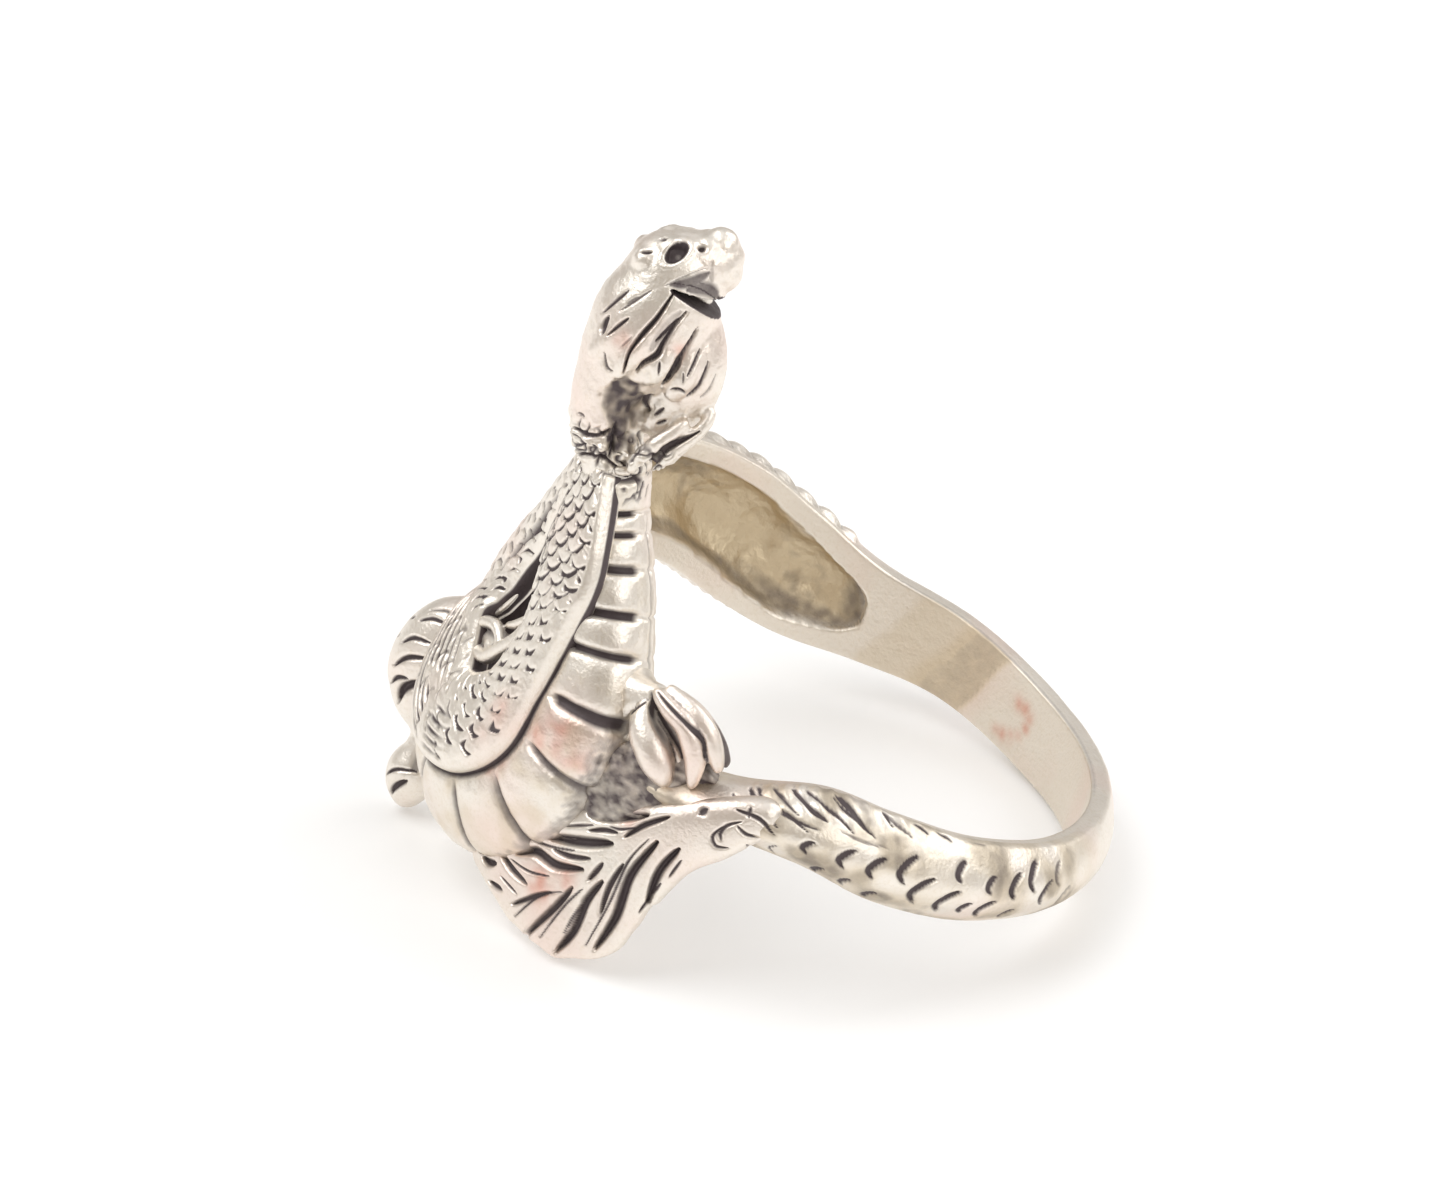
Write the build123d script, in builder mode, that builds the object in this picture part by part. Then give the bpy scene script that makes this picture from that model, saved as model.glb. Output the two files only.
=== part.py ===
from build123d import *
from collections import namedtuple
from math import cos, radians, sin
import os

# A dragon ring cast in one piece of silver.

# Driving dimensions, in millimetres. The ring is described standing on its
# finger axis: z runs along the finger towards the head, the dragon's face looks
# to -y, and an angle goes round the axis from -y towards +x.
finger_diameter = 17.4
finger_radius = finger_diameter / 2
hollow_bottom = -9.0
hollow_top = 8.3

# The ring lies tilted on the table, resting on the band's back, the tail's
# tuft and the far foot.
lying_tilt = 14.8

# Band: the tail from its root at the near front, round the back, and up as the
# far arm. low and high are its rims along z, thick the wall at the crown and
# rim the wall at both rims. It starts a little inside the hollow, which trims it.
band_overlap = 0.3
BandRow = namedtuple("BandRow", "angle low high thick rim")
band_rows = [
    BandRow(22, -0.6, 0.7, 1.9, 1.0),
    BandRow(40, -0.4, 1.2, 1.9, 0.9),
    BandRow(57, -0.6, 1.9, 1.8, 0.6),
    BandRow(72, -1.2, 1.65, 1.6, 0.5),
    BandRow(90, -1.5, 1.2, 1.5, 0.5),
    BandRow(112, -1.5, 0.9, 1.4, 0.55),
    BandRow(135, -1.4, 0.9, 1.2, 0.6),
    BandRow(160, -1.4, 1.1, 1.1, 0.65),
    BandRow(185, -1.25, 1.45, 1.1, 0.7),
    BandRow(210, -0.7, 2.15, 1.2, 0.75),
    BandRow(230, -0.7, 2.6, 1.4, 0.8),
    BandRow(247, -0.6, 3.8, 1.7, 0.9),
    BandRow(262, 0.1, 4.95, 2.0, 1.1),
    BandRow(280, 1.4, 5.8, 2.1, 1.1),
    BandRow(300, 2.2, 6.3, 1.8, 1.0),
    BandRow(320, 2.8, 6.6, 1.4, 0.8),
    BandRow(334, 3.3, 6.8, 1.3, 0.7),
    BandRow(344, 4.9, 7.2, 1.2, 0.7),
    BandRow(352, 6.3, 7.6, 1.2, 0.7),
]

# The far arm is hollowed from the finger side, as a cast body is.
PocketRow = namedtuple("PocketRow", "angle low high depth")
pocket_rows = [
    PocketRow(232, 0.75, 1.35, 0.15),
    PocketRow(234.5, 0.35, 1.7, 0.35),
    PocketRow(241, 0.05, 2.35, 0.6),
    PocketRow(250, -0.05, 3.25, 0.85),
    PocketRow(262, 0.7, 4.2, 1.15),
    PocketRow(280, 2.05, 5.1, 1.3),
    PocketRow(300, 2.9, 5.6, 1.0),
    PocketRow(314, 3.5, 5.8, 0.6),
    PocketRow(322, 4.2, 5.5, 0.3),
]

# Coil of the body on the face, as sections of a limb: wide is the half width
# in the face, outwards from the loop's centre, deep the half depth.
Section = namedtuple("Section", "x y z wide deep")
loop_centre = Vector(-2.6, -10.5, 2.7)
near_coil_rows = [
    Section(-0.7, -10.0, 8.6, 1.2, 1.15),
    Section(-0.2, -9.9, 7.0, 1.6, 1.25),
    Section(0.5, -9.8, 5.2, 1.85, 1.3),
    Section(1.0, -9.8, 3.2, 2.0, 1.45),
    Section(1.1, -9.9, 1.0, 2.45, 1.65),
    Section(0.3, -10.0, -1.2, 2.9, 1.75),
    Section(-1.8, -10.15, -2.4, 2.9, 1.85),
    Section(-3.7, -10.0, -1.5, 2.35, 1.65),
    Section(-4.5, -9.6, 0.1, 1.5, 1.35),
    Section(-4.5, -9.5, 1.4, 1.2, 1.2),
]
far_coil_rows = [
    Section(-4.4, -9.5, 0.4, 1.3, 1.2),
    Section(-4.5, -9.4, 2.0, 1.0, 1.1),
    Section(-3.9, -9.4, 3.6, 0.95, 1.1),
    Section(-3.0, -9.5, 5.0, 1.0, 1.1),
    Section(-1.9, -9.8, 6.6, 1.05, 1.1),
    Section(-1.0, -10.1, 8.1, 1.0, 1.05),
]

# The scaled back lies on the coil as a raised strip with a blunt edge, whose
# corners are rounded by this share of its half depth.
strip_edge_round = 0.6
near_strip_rows = [
    Section(-0.6, -10.7, 8.7, 1.05, 0.5),
    Section(-0.1, -10.7, 7.2, 1.45, 0.55),
    Section(0.35, -10.8, 5.8, 1.7, 0.55),
    Section(0.55, -10.95, 4.4, 1.6, 0.6),
    Section(0.5, -11.1, 2.9, 1.5, 0.65),
    Section(0.25, -11.2, 1.4, 1.75, 0.65),
    Section(-0.4, -11.3, -0.2, 2.15, 0.65),
    Section(-2.0, -11.25, -1.1, 2.3, 0.65),
    Section(-3.7, -11.0, -0.7, 1.9, 0.6),
    Section(-4.6, -10.5, 0.9, 1.05, 0.5),
]
far_strip_rows = [
    Section(-4.5, -10.6, 0.2, 1.2, 0.5),
    Section(-4.5, -10.1, 1.6, 0.85, 0.5),
    Section(-4.2, -9.9, 2.8, 0.8, 0.5),
    Section(-3.7, -9.8, 3.9, 0.8, 0.5),
    Section(-2.9, -9.9, 5.2, 0.85, 0.5),
    Section(-2.0, -10.2, 6.5, 0.9, 0.5),
    Section(-1.2, -10.6, 7.9, 0.8, 0.5),
]

# Belly scutes: grooves across the coil's outer side, each at a place along
# near_coil_rows, counted in rows from the neck. groove_side is the share of the
# half width that a groove covers, from the outer edge inwards and beyond it.
groove_depth = 0.25
groove_width = 0.22
groove_reach = 1.0
groove_side = 1.1
scute_places = [0.6, 0.95, 1.3, 1.65, 2.0, 2.4, 2.85, 3.4, 4.05, 4.75, 5.4, 6.0, 6.6]

# Head and neck in their own mid plane: f runs from the nape to the nose and s
# to the near side. long is half the section along f or z, half is across.
HeadRow = namedtuple("HeadRow", "f z long half")
head_foot = Vector(-0.5, -10.2, 0)
head_heading = 30.0
forwards = Vector(sin(radians(head_heading)), cos(radians(head_heading)), 0)
sideways = Vector(cos(radians(head_heading)), -sin(radians(head_heading)), 0)
upwards = Vector(0, 0, 1)
neck_rows = [
    HeadRow(0.0, 7.2, 1.4, 1.45),
    HeadRow(-0.3, 8.6, 1.15, 1.3),
    HeadRow(-0.8, 9.9, 1.05, 1.2),
    HeadRow(-1.0, 10.9, 1.1, 1.3),
    HeadRow(-0.6, 12.1, 1.7, 1.6),
    HeadRow(-0.25, 13.3, 1.8, 1.65),
    HeadRow(-0.15, 14.4, 1.65, 1.5),
    HeadRow(-0.05, 15.2, 1.35, 1.3),
    HeadRow(0.0, 15.8, 0.9, 0.95),
    HeadRow(0.0, 16.15, 0.3, 0.4),
]
beard_rows = [
    HeadRow(0.9, 13.9, 0.4, 0.6),
    HeadRow(1.05, 13.2, 0.8, 1.0),
    HeadRow(1.15, 12.3, 1.05, 1.2),
    HeadRow(1.1, 11.5, 0.95, 1.1),
    HeadRow(0.95, 10.9, 0.5, 0.6),
]
snout_rows = [
    HeadRow(-0.6, 15.3, 0.7, 1.1),
    HeadRow(0.3, 15.5, 0.8, 0.95),
    HeadRow(0.9, 15.45, 0.85, 0.8),
    HeadRow(1.35, 15.3, 0.8, 0.65),
    HeadRow(1.62, 15.2, 0.4, 0.35),
]
jaw_rows = [
    HeadRow(-0.2, 13.9, 0.5, 0.95),
    HeadRow(0.7, 13.65, 0.45, 0.8),
    HeadRow(1.3, 13.6, 0.38, 0.6),
    HeadRow(1.62, 13.65, 0.15, 0.25),
]
mouth_outline = [(-0.35, 14.5), (2.4, 14.62), (2.4, 13.75)]
mouth_half_width = 2.0
Bump = namedtuple("Bump", "f s z radius")
head_bumps = [
    Bump(0.95, 0.0, 16.0, 0.52),
    Bump(-0.45, 0.7, 15.6, 0.45),
    Bump(-0.45, -0.7, 15.6, 0.45),
    Bump(-1.2, 0.7, 14.85, 0.42),
    Bump(-1.2, -0.7, 14.85, 0.42),
]
eye_pits = [Bump(-0.2, 1.35, 15.65, 0.36), Bump(-0.2, -1.35, 15.65, 0.36)]

# Mane locks hang from top to tip, spread is how far out to the side they lie in
# the middle, and radius is theirs there.
Lock = namedtuple("Lock", "top_f top_z tip_f tip_z spread radius")
mane_locks = [
    Lock(-1.0, 14.6, -1.9, 11.3, 1.0, 0.42),
    Lock(-0.5, 14.2, -0.9, 11.0, 1.4, 0.45),
    Lock(0.3, 13.7, 0.0, 10.9, 1.5, 0.42),
    Lock(1.1, 13.3, 0.9, 10.7, 1.25, 0.4),
    Lock(1.6, 13.1, 1.8, 11.0, 0.6, 0.4),
]
lock_root_spread, lock_tip_spread = 0.75, 0.8
lock_root_share, lock_tip_radius = 0.6, 0.12
lock_forward, lock_sag = 0.1, 0.2

# Two collar ridges round the neck, swollen in the middle and sunk at both edges.
collar_heights = [8.9, 9.5]
collar_half_height = 0.28
collar_swell, collar_sunk = 0.18, 0.05
collar_lean = 0.4
Hair = namedtuple("Hair", "f s z radius")
chin_hair = [Hair(2.0, 0.75, 11.4, 0.22), Hair(1.5, 0.95, 10.2, 0.3), Hair(0.6, 0.9, 8.2, 0.28)]

# Tail tuft: flame strands from one root, tips given by angle and height.
TuftTip = namedtuple("TuftTip", "angle z radius")
tuft_tips = [
    TuftTip(0.5, -4.4, 0.5),
    TuftTip(5, -5.2, 0.5),
    TuftTip(9.5, -5.9, 0.5),
    TuftTip(15.5, -6.4, 0.55),
    TuftTip(23, -6.2, 0.55),
    TuftTip(30, -5.4, 0.55),
    TuftTip(35, -4.2, 0.5),
    TuftTip(38, -2.9, 0.45),
    TuftTip(42, -0.9, 0.4),
]
tuft_root_angle = 47.0
tuft_root_top, tuft_root_bottom = 1.2, -0.1
tuft_radius = 10.35
strand_root_radius, strand_tip_radius = 0.3, 0.15
strand_root_sunk, strand_middle_raised, strand_tip_raised = 0.2, 0.25, 0.1
strand_middle_share, strand_bow = 0.55, 0.25
LeafRow = namedtuple("LeafRow", "angle z wide deep")
leaf_rows = [
    LeafRow(48, 0.8, 0.7, 0.45),
    LeafRow(40, -0.8, 1.35, 0.5),
    LeafRow(30, -2.6, 2.05, 0.5),
    LeafRow(19, -4.2, 2.2, 0.45),
    LeafRow(12.5, -5.2, 1.6, 0.35),
    LeafRow(9.5, -5.7, 0.7, 0.2),
]

# Near foot, with drop shaped toes, and the far leg.
LegRow = namedtuple("LegRow", "x y z radius")
near_leg = [
    LegRow(2.2, -9.4, 3.0, 0.8),
    LegRow(3.7, -9.6, 3.2, 0.7),
    LegRow(4.8, -9.3, 3.2, 0.55),
    LegRow(5.4, -9.0, 2.9, 0.3),
]
near_toes = [
    [LegRow(4.2, -9.6, 2.8, 0.3), LegRow(4.6, -9.8, 1.5, 0.52), LegRow(5.2, -9.5, 0.2, 0.12)],
    [LegRow(4.6, -9.4, 3.1, 0.3), LegRow(5.2, -9.5, 1.9, 0.5), LegRow(5.9, -9.0, 0.4, 0.12)],
    [LegRow(4.9, -9.2, 3.3, 0.3), LegRow(5.9, -9.0, 2.4, 0.42), LegRow(6.5, -8.5, 0.9, 0.12)],
    [LegRow(5.0, -8.9, 3.4, 0.3), LegRow(6.2, -8.4, 2.8, 0.36), LegRow(6.8, -8.0, 1.5, 0.12)],
]
far_leg = [
    LegRow(-4.5, -10.0, 0.6, 0.9),
    LegRow(-5.5, -10.7, -0.6, 1.35),
    LegRow(-5.8, -10.7, -2.0, 1.25),
    LegRow(-5.8, -10.4, -3.4, 0.8),
    LegRow(-5.9, -10.2, -4.6, 0.6),
    LegRow(-5.9, -10.1, -5.7, 0.7),
    LegRow(-5.8, -10.0, -6.4, 0.3),
]

# Small bumps of the dorsal scales along the far arm, and hair on the tail.
crest_start, crest_end, crest_count = 236.0, 296.0, 12
crest_radius = 0.36
crest_sunk = 0.12
tail_hair_start, tail_hair_end, tail_hair_count = 46.0, 82.0, 7
HairRow = namedtuple("HairRow", "turn wall height radius")
tail_hair_rows = [
    HairRow(0, 1.0, -0.7, 0.2),
    HairRow(3, 0.9, -0.15, 0.32),
    HairRow(9, 0.6, 0.1, 0.1),
]

# A limb of round section has this side vector, which only must not run along it.
limb_side = Vector(1, 0.3, 0.2)


def head_spot(f, s, z):
    return head_foot + forwards * f + sideways * s + upwards * z


def ring_spot(angle, radius, z):
    turn = radians(angle)
    return Vector(radius * sin(turn), -radius * cos(turn), z)


def ring_plane(angle):
    # x of the plane is the distance from the finger axis, y the height
    turn = radians(angle)
    return Plane((0, 0, 0), x_dir=(sin(turn), -cos(turn), 0), z_dir=(-cos(turn), -sin(turn), 0))


def band_row_at(angle):
    for before, after in zip(band_rows, band_rows[1:]):
        if before.angle <= angle <= after.angle:
            part = (angle - before.angle) / (after.angle - before.angle)
            return BandRow(*(a + part * (b - a) for a, b in zip(before, after)))


def section_plane(spots, index, across):
    last = len(spots) - 1
    ahead = (spots[min(index + 1, last)] - spots[max(index - 1, 0)]).normalized()
    side = across - ahead * across.dot(ahead)
    return Plane(spots[index], x_dir=side, z_dir=ahead)


def limb(spots, wides, deeps, across):
    # a closed limb through ellipses, wide along the vector across(spot)
    with BuildPart() as made:
        for index, spot in enumerate(spots):
            with BuildSketch(section_plane(spots, index, across(spot))):
                Ellipse(wides[index], deeps[index])
        loft()
    return made.part


def away_from_loop(spot):
    return spot - loop_centre


def coil_limb(rows):
    spots = [Vector(row.x, row.y, row.z) for row in rows]
    return limb(spots, [row.wide for row in rows], [row.deep for row in rows], away_from_loop)


def coil_strip(rows):
    spots = [Vector(row.x, row.y, row.z) for row in rows]
    with BuildPart() as made:
        for index, row in enumerate(rows):
            with BuildSketch(section_plane(spots, index, away_from_loop(spots[index]))):
                RectangleRounded(2 * row.wide, 2 * row.deep, strip_edge_round * row.deep)
        loft()
    return made.part


def head_limb(rows, across):
    spots = [head_spot(row.f, 0, row.z) for row in rows]
    return limb(spots, [row.long for row in rows], [row.half for row in rows], lambda spot: across)


def round_limb(spots, radii):
    # a limb of round section, such as a toe or a lock of hair
    across = limb_side.cross(spots[-1] - spots[0])
    return limb(spots, radii, radii, lambda spot: across)


def leg_limb(rows):
    return round_limb([Vector(row.x, row.y, row.z) for row in rows], [row.radius for row in rows])


def band():
    with BuildPart() as made:
        for row in band_rows:
            inner = finger_radius - band_overlap
            rim = finger_radius + row.rim
            with BuildSketch(ring_plane(row.angle)):
                with BuildLine():
                    Polyline((rim, row.low), (inner, row.low), (inner, row.high), (rim, row.high))
                    ThreePointArc((rim, row.low),
                                  (finger_radius + row.thick, (row.low + row.high) / 2),
                                  (rim, row.high))
                make_face()
        loft()
    return made.part


def arm_pocket():
    with BuildPart() as made:
        for row in pocket_rows:
            with BuildSketch(ring_plane(row.angle)):
                with Locations((finger_radius, (row.low + row.high) / 2)):
                    Ellipse(row.depth, (row.high - row.low) / 2)
        loft()
    return made.part


def coil_at(place):
    # spot, direction and half widths at a place between two rows of the coil
    index = min(int(place), len(near_coil_rows) - 2)
    part = place - index
    before, after = near_coil_rows[index], near_coil_rows[index + 1]
    row = Section(*(a + part * (b - a) for a, b in zip(before, after)))
    ahead = Vector(after.x - before.x, after.y - before.y, after.z - before.z)
    return Vector(row.x, row.y, row.z), ahead.normalized(), row


def scute_groove(place):
    spot, ahead, row = coil_at(place)
    across = away_from_loop(spot)
    plane = Plane(spot - ahead * (groove_width / 2), x_dir=across - ahead * across.dot(ahead),
                  z_dir=ahead)
    with BuildPart() as made:
        with BuildSketch(plane):
            Ellipse(row.wide + groove_reach, row.deep + groove_reach)
            Ellipse(row.wide - groove_depth, row.deep - groove_depth, mode=Mode.SUBTRACT)
            with Locations((row.wide, 0)):
                Rectangle(groove_side * row.wide, 2 * (row.deep + groove_reach), mode=Mode.INTERSECT)
        extrude(amount=groove_width)
    return made.part


def mane_lock(lock, side):
    spread = side * lock.spread
    middle_f = (lock.top_f + lock.tip_f) / 2 + lock_forward
    middle_z = (lock.top_z + lock.tip_z) / 2 - lock_sag
    spots = [head_spot(lock.top_f, lock_root_spread * spread, lock.top_z),
             head_spot(middle_f, spread, middle_z),
             head_spot(lock.tip_f, lock_tip_spread * spread, lock.tip_z)]
    return round_limb(spots, [lock_root_share * lock.radius, lock.radius, lock_tip_radius])


def collar(z):
    near = min(neck_rows, key=lambda row: abs(row.z - z))
    middle_f = near.f - collar_lean * (z - near.z)
    rows = [HeadRow(middle_f, z + rise, near.long + more, near.half + more)
            for rise, more in ((-collar_half_height, -collar_sunk), (0, collar_swell),
                               (collar_half_height, -collar_sunk))]
    return head_limb(rows, forwards)


def tuft_strand(tip, root_z):
    root = ring_spot(tuft_root_angle, tuft_radius - strand_root_sunk, root_z)
    middle = ring_spot(tuft_root_angle + strand_middle_share * (tip.angle - tuft_root_angle),
                       tuft_radius + strand_middle_raised,
                       root_z + strand_middle_share * (tip.z - root_z) + strand_bow)
    end = ring_spot(tip.angle, tuft_radius + strand_tip_raised, tip.z)
    return round_limb([root, middle, end], [strand_root_radius, tip.radius, strand_tip_radius])


def tuft_leaf():
    spots = [ring_spot(row.angle, tuft_radius, row.z) for row in leaf_rows]
    return limb(spots, [row.wide for row in leaf_rows], [row.deep for row in leaf_rows],
                lambda spot: Vector(-spot.Y, spot.X, 0))


def tail_hair(angle):
    high = band_row_at(angle).high
    spots = [ring_spot(angle + row.turn, finger_radius + row.wall, high + row.height)
             for row in tail_hair_rows]
    return round_limb(spots, [row.radius for row in tail_hair_rows])


def evenly(start, end, count):
    return [start + (end - start) * index / (count - 1) for index in range(count)]


with BuildPart() as body:
    add(band())
    add(coil_limb(near_coil_rows))
    add(coil_limb(far_coil_rows))
    for place in scute_places:
        add(scute_groove(place), mode=Mode.SUBTRACT)
    add(coil_strip(near_strip_rows))
    add(coil_strip(far_strip_rows))

with BuildPart() as head:
    add(head_limb(neck_rows, forwards))
    add(head_limb(snout_rows, upwards))
    add(head_limb(jaw_rows, upwards))
    add(head_limb(beard_rows, forwards))
    for bump in head_bumps:
        with Locations(head_spot(bump.f, bump.s, bump.z)):
            Sphere(bump.radius)
    for lock in mane_locks:
        add(mane_lock(lock, 1))
        add(mane_lock(lock, -1))
    for z in collar_heights:
        add(collar(z))
    with BuildSketch(Plane(head_foot, x_dir=forwards, z_dir=sideways)):
        with BuildLine():
            Polyline(*mouth_outline, close=True)
        make_face()
    extrude(amount=mouth_half_width, both=True, mode=Mode.SUBTRACT)
    for pit in eye_pits:
        with Locations(head_spot(pit.f, pit.s, pit.z)):
            Sphere(pit.radius, mode=Mode.SUBTRACT)
    add(round_limb([head_spot(h.f, h.s, h.z) for h in chin_hair], [h.radius for h in chin_hair]))

with BuildPart() as limbs:
    add(tuft_leaf())
    root_heights = evenly(tuft_root_top, tuft_root_bottom, len(tuft_tips))
    for tip, root_z in zip(tuft_tips, root_heights):
        add(tuft_strand(tip, root_z))
    add(leg_limb(near_leg))
    for toe in near_toes:
        add(leg_limb(toe))
    add(leg_limb(far_leg))

with BuildPart() as casting:
    add(body.part)
    add(head.part)
    add(limbs.part)
    for angle in evenly(crest_start, crest_end, crest_count):
        row = band_row_at(angle)
        with Locations(ring_spot(angle, finger_radius + row.rim, row.high - crest_sunk)):
            Sphere(crest_radius)
    for angle in evenly(tail_hair_start, tail_hair_end, tail_hair_count):
        add(tail_hair(angle))
    with Locations((0, 0, (hollow_bottom + hollow_top) / 2)):
        Cylinder(finger_radius, hollow_top - hollow_bottom, mode=Mode.SUBTRACT)
    add(arm_pocket(), mode=Mode.SUBTRACT)

# Lay the ring down: the finger axis leans back, the lowest point is at z = 0 and
# the origin is under the middle of the bounding box.
leaning = casting.part.rotate(Axis.X, -lying_tilt)
extent = leaning.bounding_box()
lying_shift = Vector(-extent.center().X, -extent.center().Y, -extent.min.Z)
with BuildPart() as dragon_ring:
    add(leaning.moved(Location(lying_shift)))

dragon_ring.part.label = "dragon_ring"
os.makedirs("parts", exist_ok=True)
export_step(dragon_ring.part, "parts/dragon_ring.step")
print("volume", round(dragon_ring.part.volume, 1), "solids", len(dragon_ring.part.solids()),
      "shift", lying_shift, "size", dragon_ring.part.bounding_box().size)
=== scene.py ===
import math

import bpy
import numpy as np
from mathutils import Matrix


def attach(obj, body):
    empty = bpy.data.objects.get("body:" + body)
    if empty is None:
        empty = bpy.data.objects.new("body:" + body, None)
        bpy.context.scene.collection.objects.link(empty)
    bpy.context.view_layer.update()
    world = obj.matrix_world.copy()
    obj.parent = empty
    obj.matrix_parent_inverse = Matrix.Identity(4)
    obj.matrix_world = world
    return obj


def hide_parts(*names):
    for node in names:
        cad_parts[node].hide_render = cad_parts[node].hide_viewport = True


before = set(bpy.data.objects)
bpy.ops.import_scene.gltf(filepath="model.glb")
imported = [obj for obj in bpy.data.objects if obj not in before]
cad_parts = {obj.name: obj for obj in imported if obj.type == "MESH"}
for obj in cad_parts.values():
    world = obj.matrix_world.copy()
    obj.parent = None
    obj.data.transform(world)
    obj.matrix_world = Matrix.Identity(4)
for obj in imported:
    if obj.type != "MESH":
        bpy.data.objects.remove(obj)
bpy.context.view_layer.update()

# Sizes are in millimetres on the standing ring: z runs along the finger towards
# the head, the dragon's face looks to -y, and angles go round the finger from
# -y towards +x. layDown turns it into the lying ring, in metres.
ring = {"fingerRadius": 8.7, "tilt": 14.8, "shift": (0.2986, 1.5429, 3.7193)}
millimetre = 0.001
tilt = math.radians(ring["tilt"])
# what lies closer than this is merged, in metres on a piece and in mm before that
mergeGap, limbGap = 0.000001, 0.001


def turnDown(vectors):
    x, y, z = np.moveaxis(np.asarray(vectors, float), -1, 0)
    return np.stack([x, math.cos(tilt) * y + math.sin(tilt) * z, math.cos(tilt) * z - math.sin(tilt) * y], -1)


def layDown(points):
    return (turnDown(points) + np.array(ring["shift"])) * millimetre


def unit(vectors):
    length = np.linalg.norm(vectors, axis=-1, keepdims=True)
    return vectors / np.maximum(length, 1e-9)


def dent(distance, width):
    return np.exp(-(distance / width) ** 2)


def fade(values, start, end):
    part = np.clip((values - start) / (end - start), 0, 1)
    return part * part * (3 - 2 * part)


def within(values, start, full, fall, end):
    # fades in from start to full and out again from fall to end
    return fade(values, start, full) * (1 - fade(values, fall, end))


def along(rows, count):
    # a smooth curve through the table's rows, all its columns at once
    rows = np.array(rows, float)
    place = np.linspace(0, len(rows) - 1, count)
    index = np.minimum(place.astype(int), len(rows) - 2)
    part = (place - index)[:, None]
    before, start = rows[np.maximum(index - 1, 0)], rows[index]
    end, after = rows[index + 1], rows[np.minimum(index + 2, len(rows) - 1)]
    return 0.5 * (2 * start + (end - before) * part
                  + (2 * before - 5 * start + 4 * end - after) * part ** 2
                  + (3 * start - before - 3 * end + after) * part ** 3)


def evenRows(rows, step):
    # the same curve at even steps of length, with the place in the table as last column
    fine = 1500
    table = np.hstack([along(rows, fine), np.linspace(0, len(rows) - 1, fine)[:, None]])
    run = np.r_[0, np.cumsum(np.linalg.norm(np.diff(table[:, :3], axis=0), axis=1))]
    wanted = np.linspace(0, run[-1], max(int(run[-1] / step), 8))
    return wanted, np.stack([np.interp(wanted, run, column) for column in table.T], 1)


def squared(values, square):
    # cosine or sine of a section that is round at 2 and squarer above it
    return np.sign(values) * np.abs(values) ** (2 / square)


def outline(square, wide, deep, count):
    # angles that stand evenly round a section of these half widths
    dense = np.linspace(0, 2 * math.pi, 2000)
    x, y = wide * squared(np.cos(dense), square), deep * squared(np.sin(dense), square)
    run = np.r_[0, np.cumsum(np.hypot(np.diff(x), np.diff(y)))]
    return np.interp(np.linspace(0, run[-1], count + 1), run, dense)


def limb(rows, outwards, step, square=2.0, endRound=0.5, tight=False):
    # a closed limb: rows of x y z wide deep, wide along outwards, a vector or a function of places
    run, table = evenRows(rows, step)
    spots, wide, deep, place = table[:, :3], table[:, 3], table[:, 4], table[:, 5]
    fromEnd = np.clip(np.minimum(run, run[-1] - run) / endRound, 0, 1)
    closing = np.sqrt(np.clip(1 - (1 - fromEnd) ** 2, 0, 1))
    ahead = unit(np.gradient(spots, axis=0))
    side = outwards(spots) if callable(outwards) else np.array(outwards, float)
    side = unit(side - ahead * (side * ahead).sum(1, keepdims=True))
    top = np.cross(ahead, side)
    angles = outline(square, wide.mean(), deep.mean(), int(2.2 * (wide.max() + deep.max()) * 1.6 / step))
    across, height = squared(np.cos(angles), square), squared(np.sin(angles), square)
    inner = wide
    if tight:
        # the inside of a sharp bend stops short of the bend's own centre
        share, window = 0.85, 25
        bend = -(np.gradient(ahead, axis=0) * side).sum(1) / np.gradient(run)
        inner = np.pad(np.minimum(wide, share / np.maximum(bend, 0.01)), window - 1, "edge")
        inner = np.lib.stride_tricks.sliding_window_view(inner, window).min(-1)
        inner = np.convolve(inner, np.ones(window) / window, "valid")
    half = np.where(across[None, :] < 0, inner[:, None], wide[:, None]) * closing[:, None]
    points = (spots[:, None] + side[:, None] * (half * across)[..., None]
              + top[:, None] * (deep * closing)[:, None, None] * height[None, :, None])
    made = {"run": run[:, None], "place": place[:, None], "across": across, "height": height}
    made = {name: np.broadcast_to(values, points.shape[:2]) for name, values in made.items()}
    return {"points": points, **made}


def wrapped(grid):
    # a grid with its first column once more at the end
    return np.concatenate([grid, grid[:, :1]], 1)


def outside(points):
    # outward normals of a grid that closes on itself along its columns
    opened = points[:, :-1]
    normals = unit(np.cross(np.gradient(opened, axis=0), np.roll(opened, -1, 1) - np.roll(opened, 1, 1)))
    if ((opened - opened.mean(1, keepdims=True)) * normals).sum() < 0:
        normals = -normals
    return wrapped(normals)


def keepOffFinger(points):
    reach = np.hypot(points[..., 0], points[..., 1])
    pushed = points.copy()
    pushed[..., :2] *= np.maximum(ring["fingerRadius"] / np.maximum(reach, 1e-6), 1)[..., None]
    return pushed


def lumps(points, size, seed):
    # smooth noise in space, between -1 and 1, the same each run
    lattice = np.random.default_rng(seed).uniform(-1, 1, (24, 24, 24))
    place = points / size + 100.0
    cell = np.floor(place).astype(int)
    part = place - cell
    part = part * part * (3 - 2 * part)
    total = np.zeros(points.shape[:-1])
    for corner in range(8):
        offset = np.array([corner & 1, corner >> 1 & 1, corner >> 2 & 1])
        weight = np.where(offset == 1, part, 1 - part).prod(-1)
        spot = (cell + offset) % 24
        total += weight * lattice[spot[..., 0], spot[..., 1], spot[..., 2]]
    return total


def layered(points, layers):
    # noise of several sizes: height, size and seed of each
    return sum(height * lumps(points, size, seed) for height, size, seed in layers)


def seams(points, width, layers):
    # wandering lines, as between grains of rough casting
    return dent(layered(points, layers), width)


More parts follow.
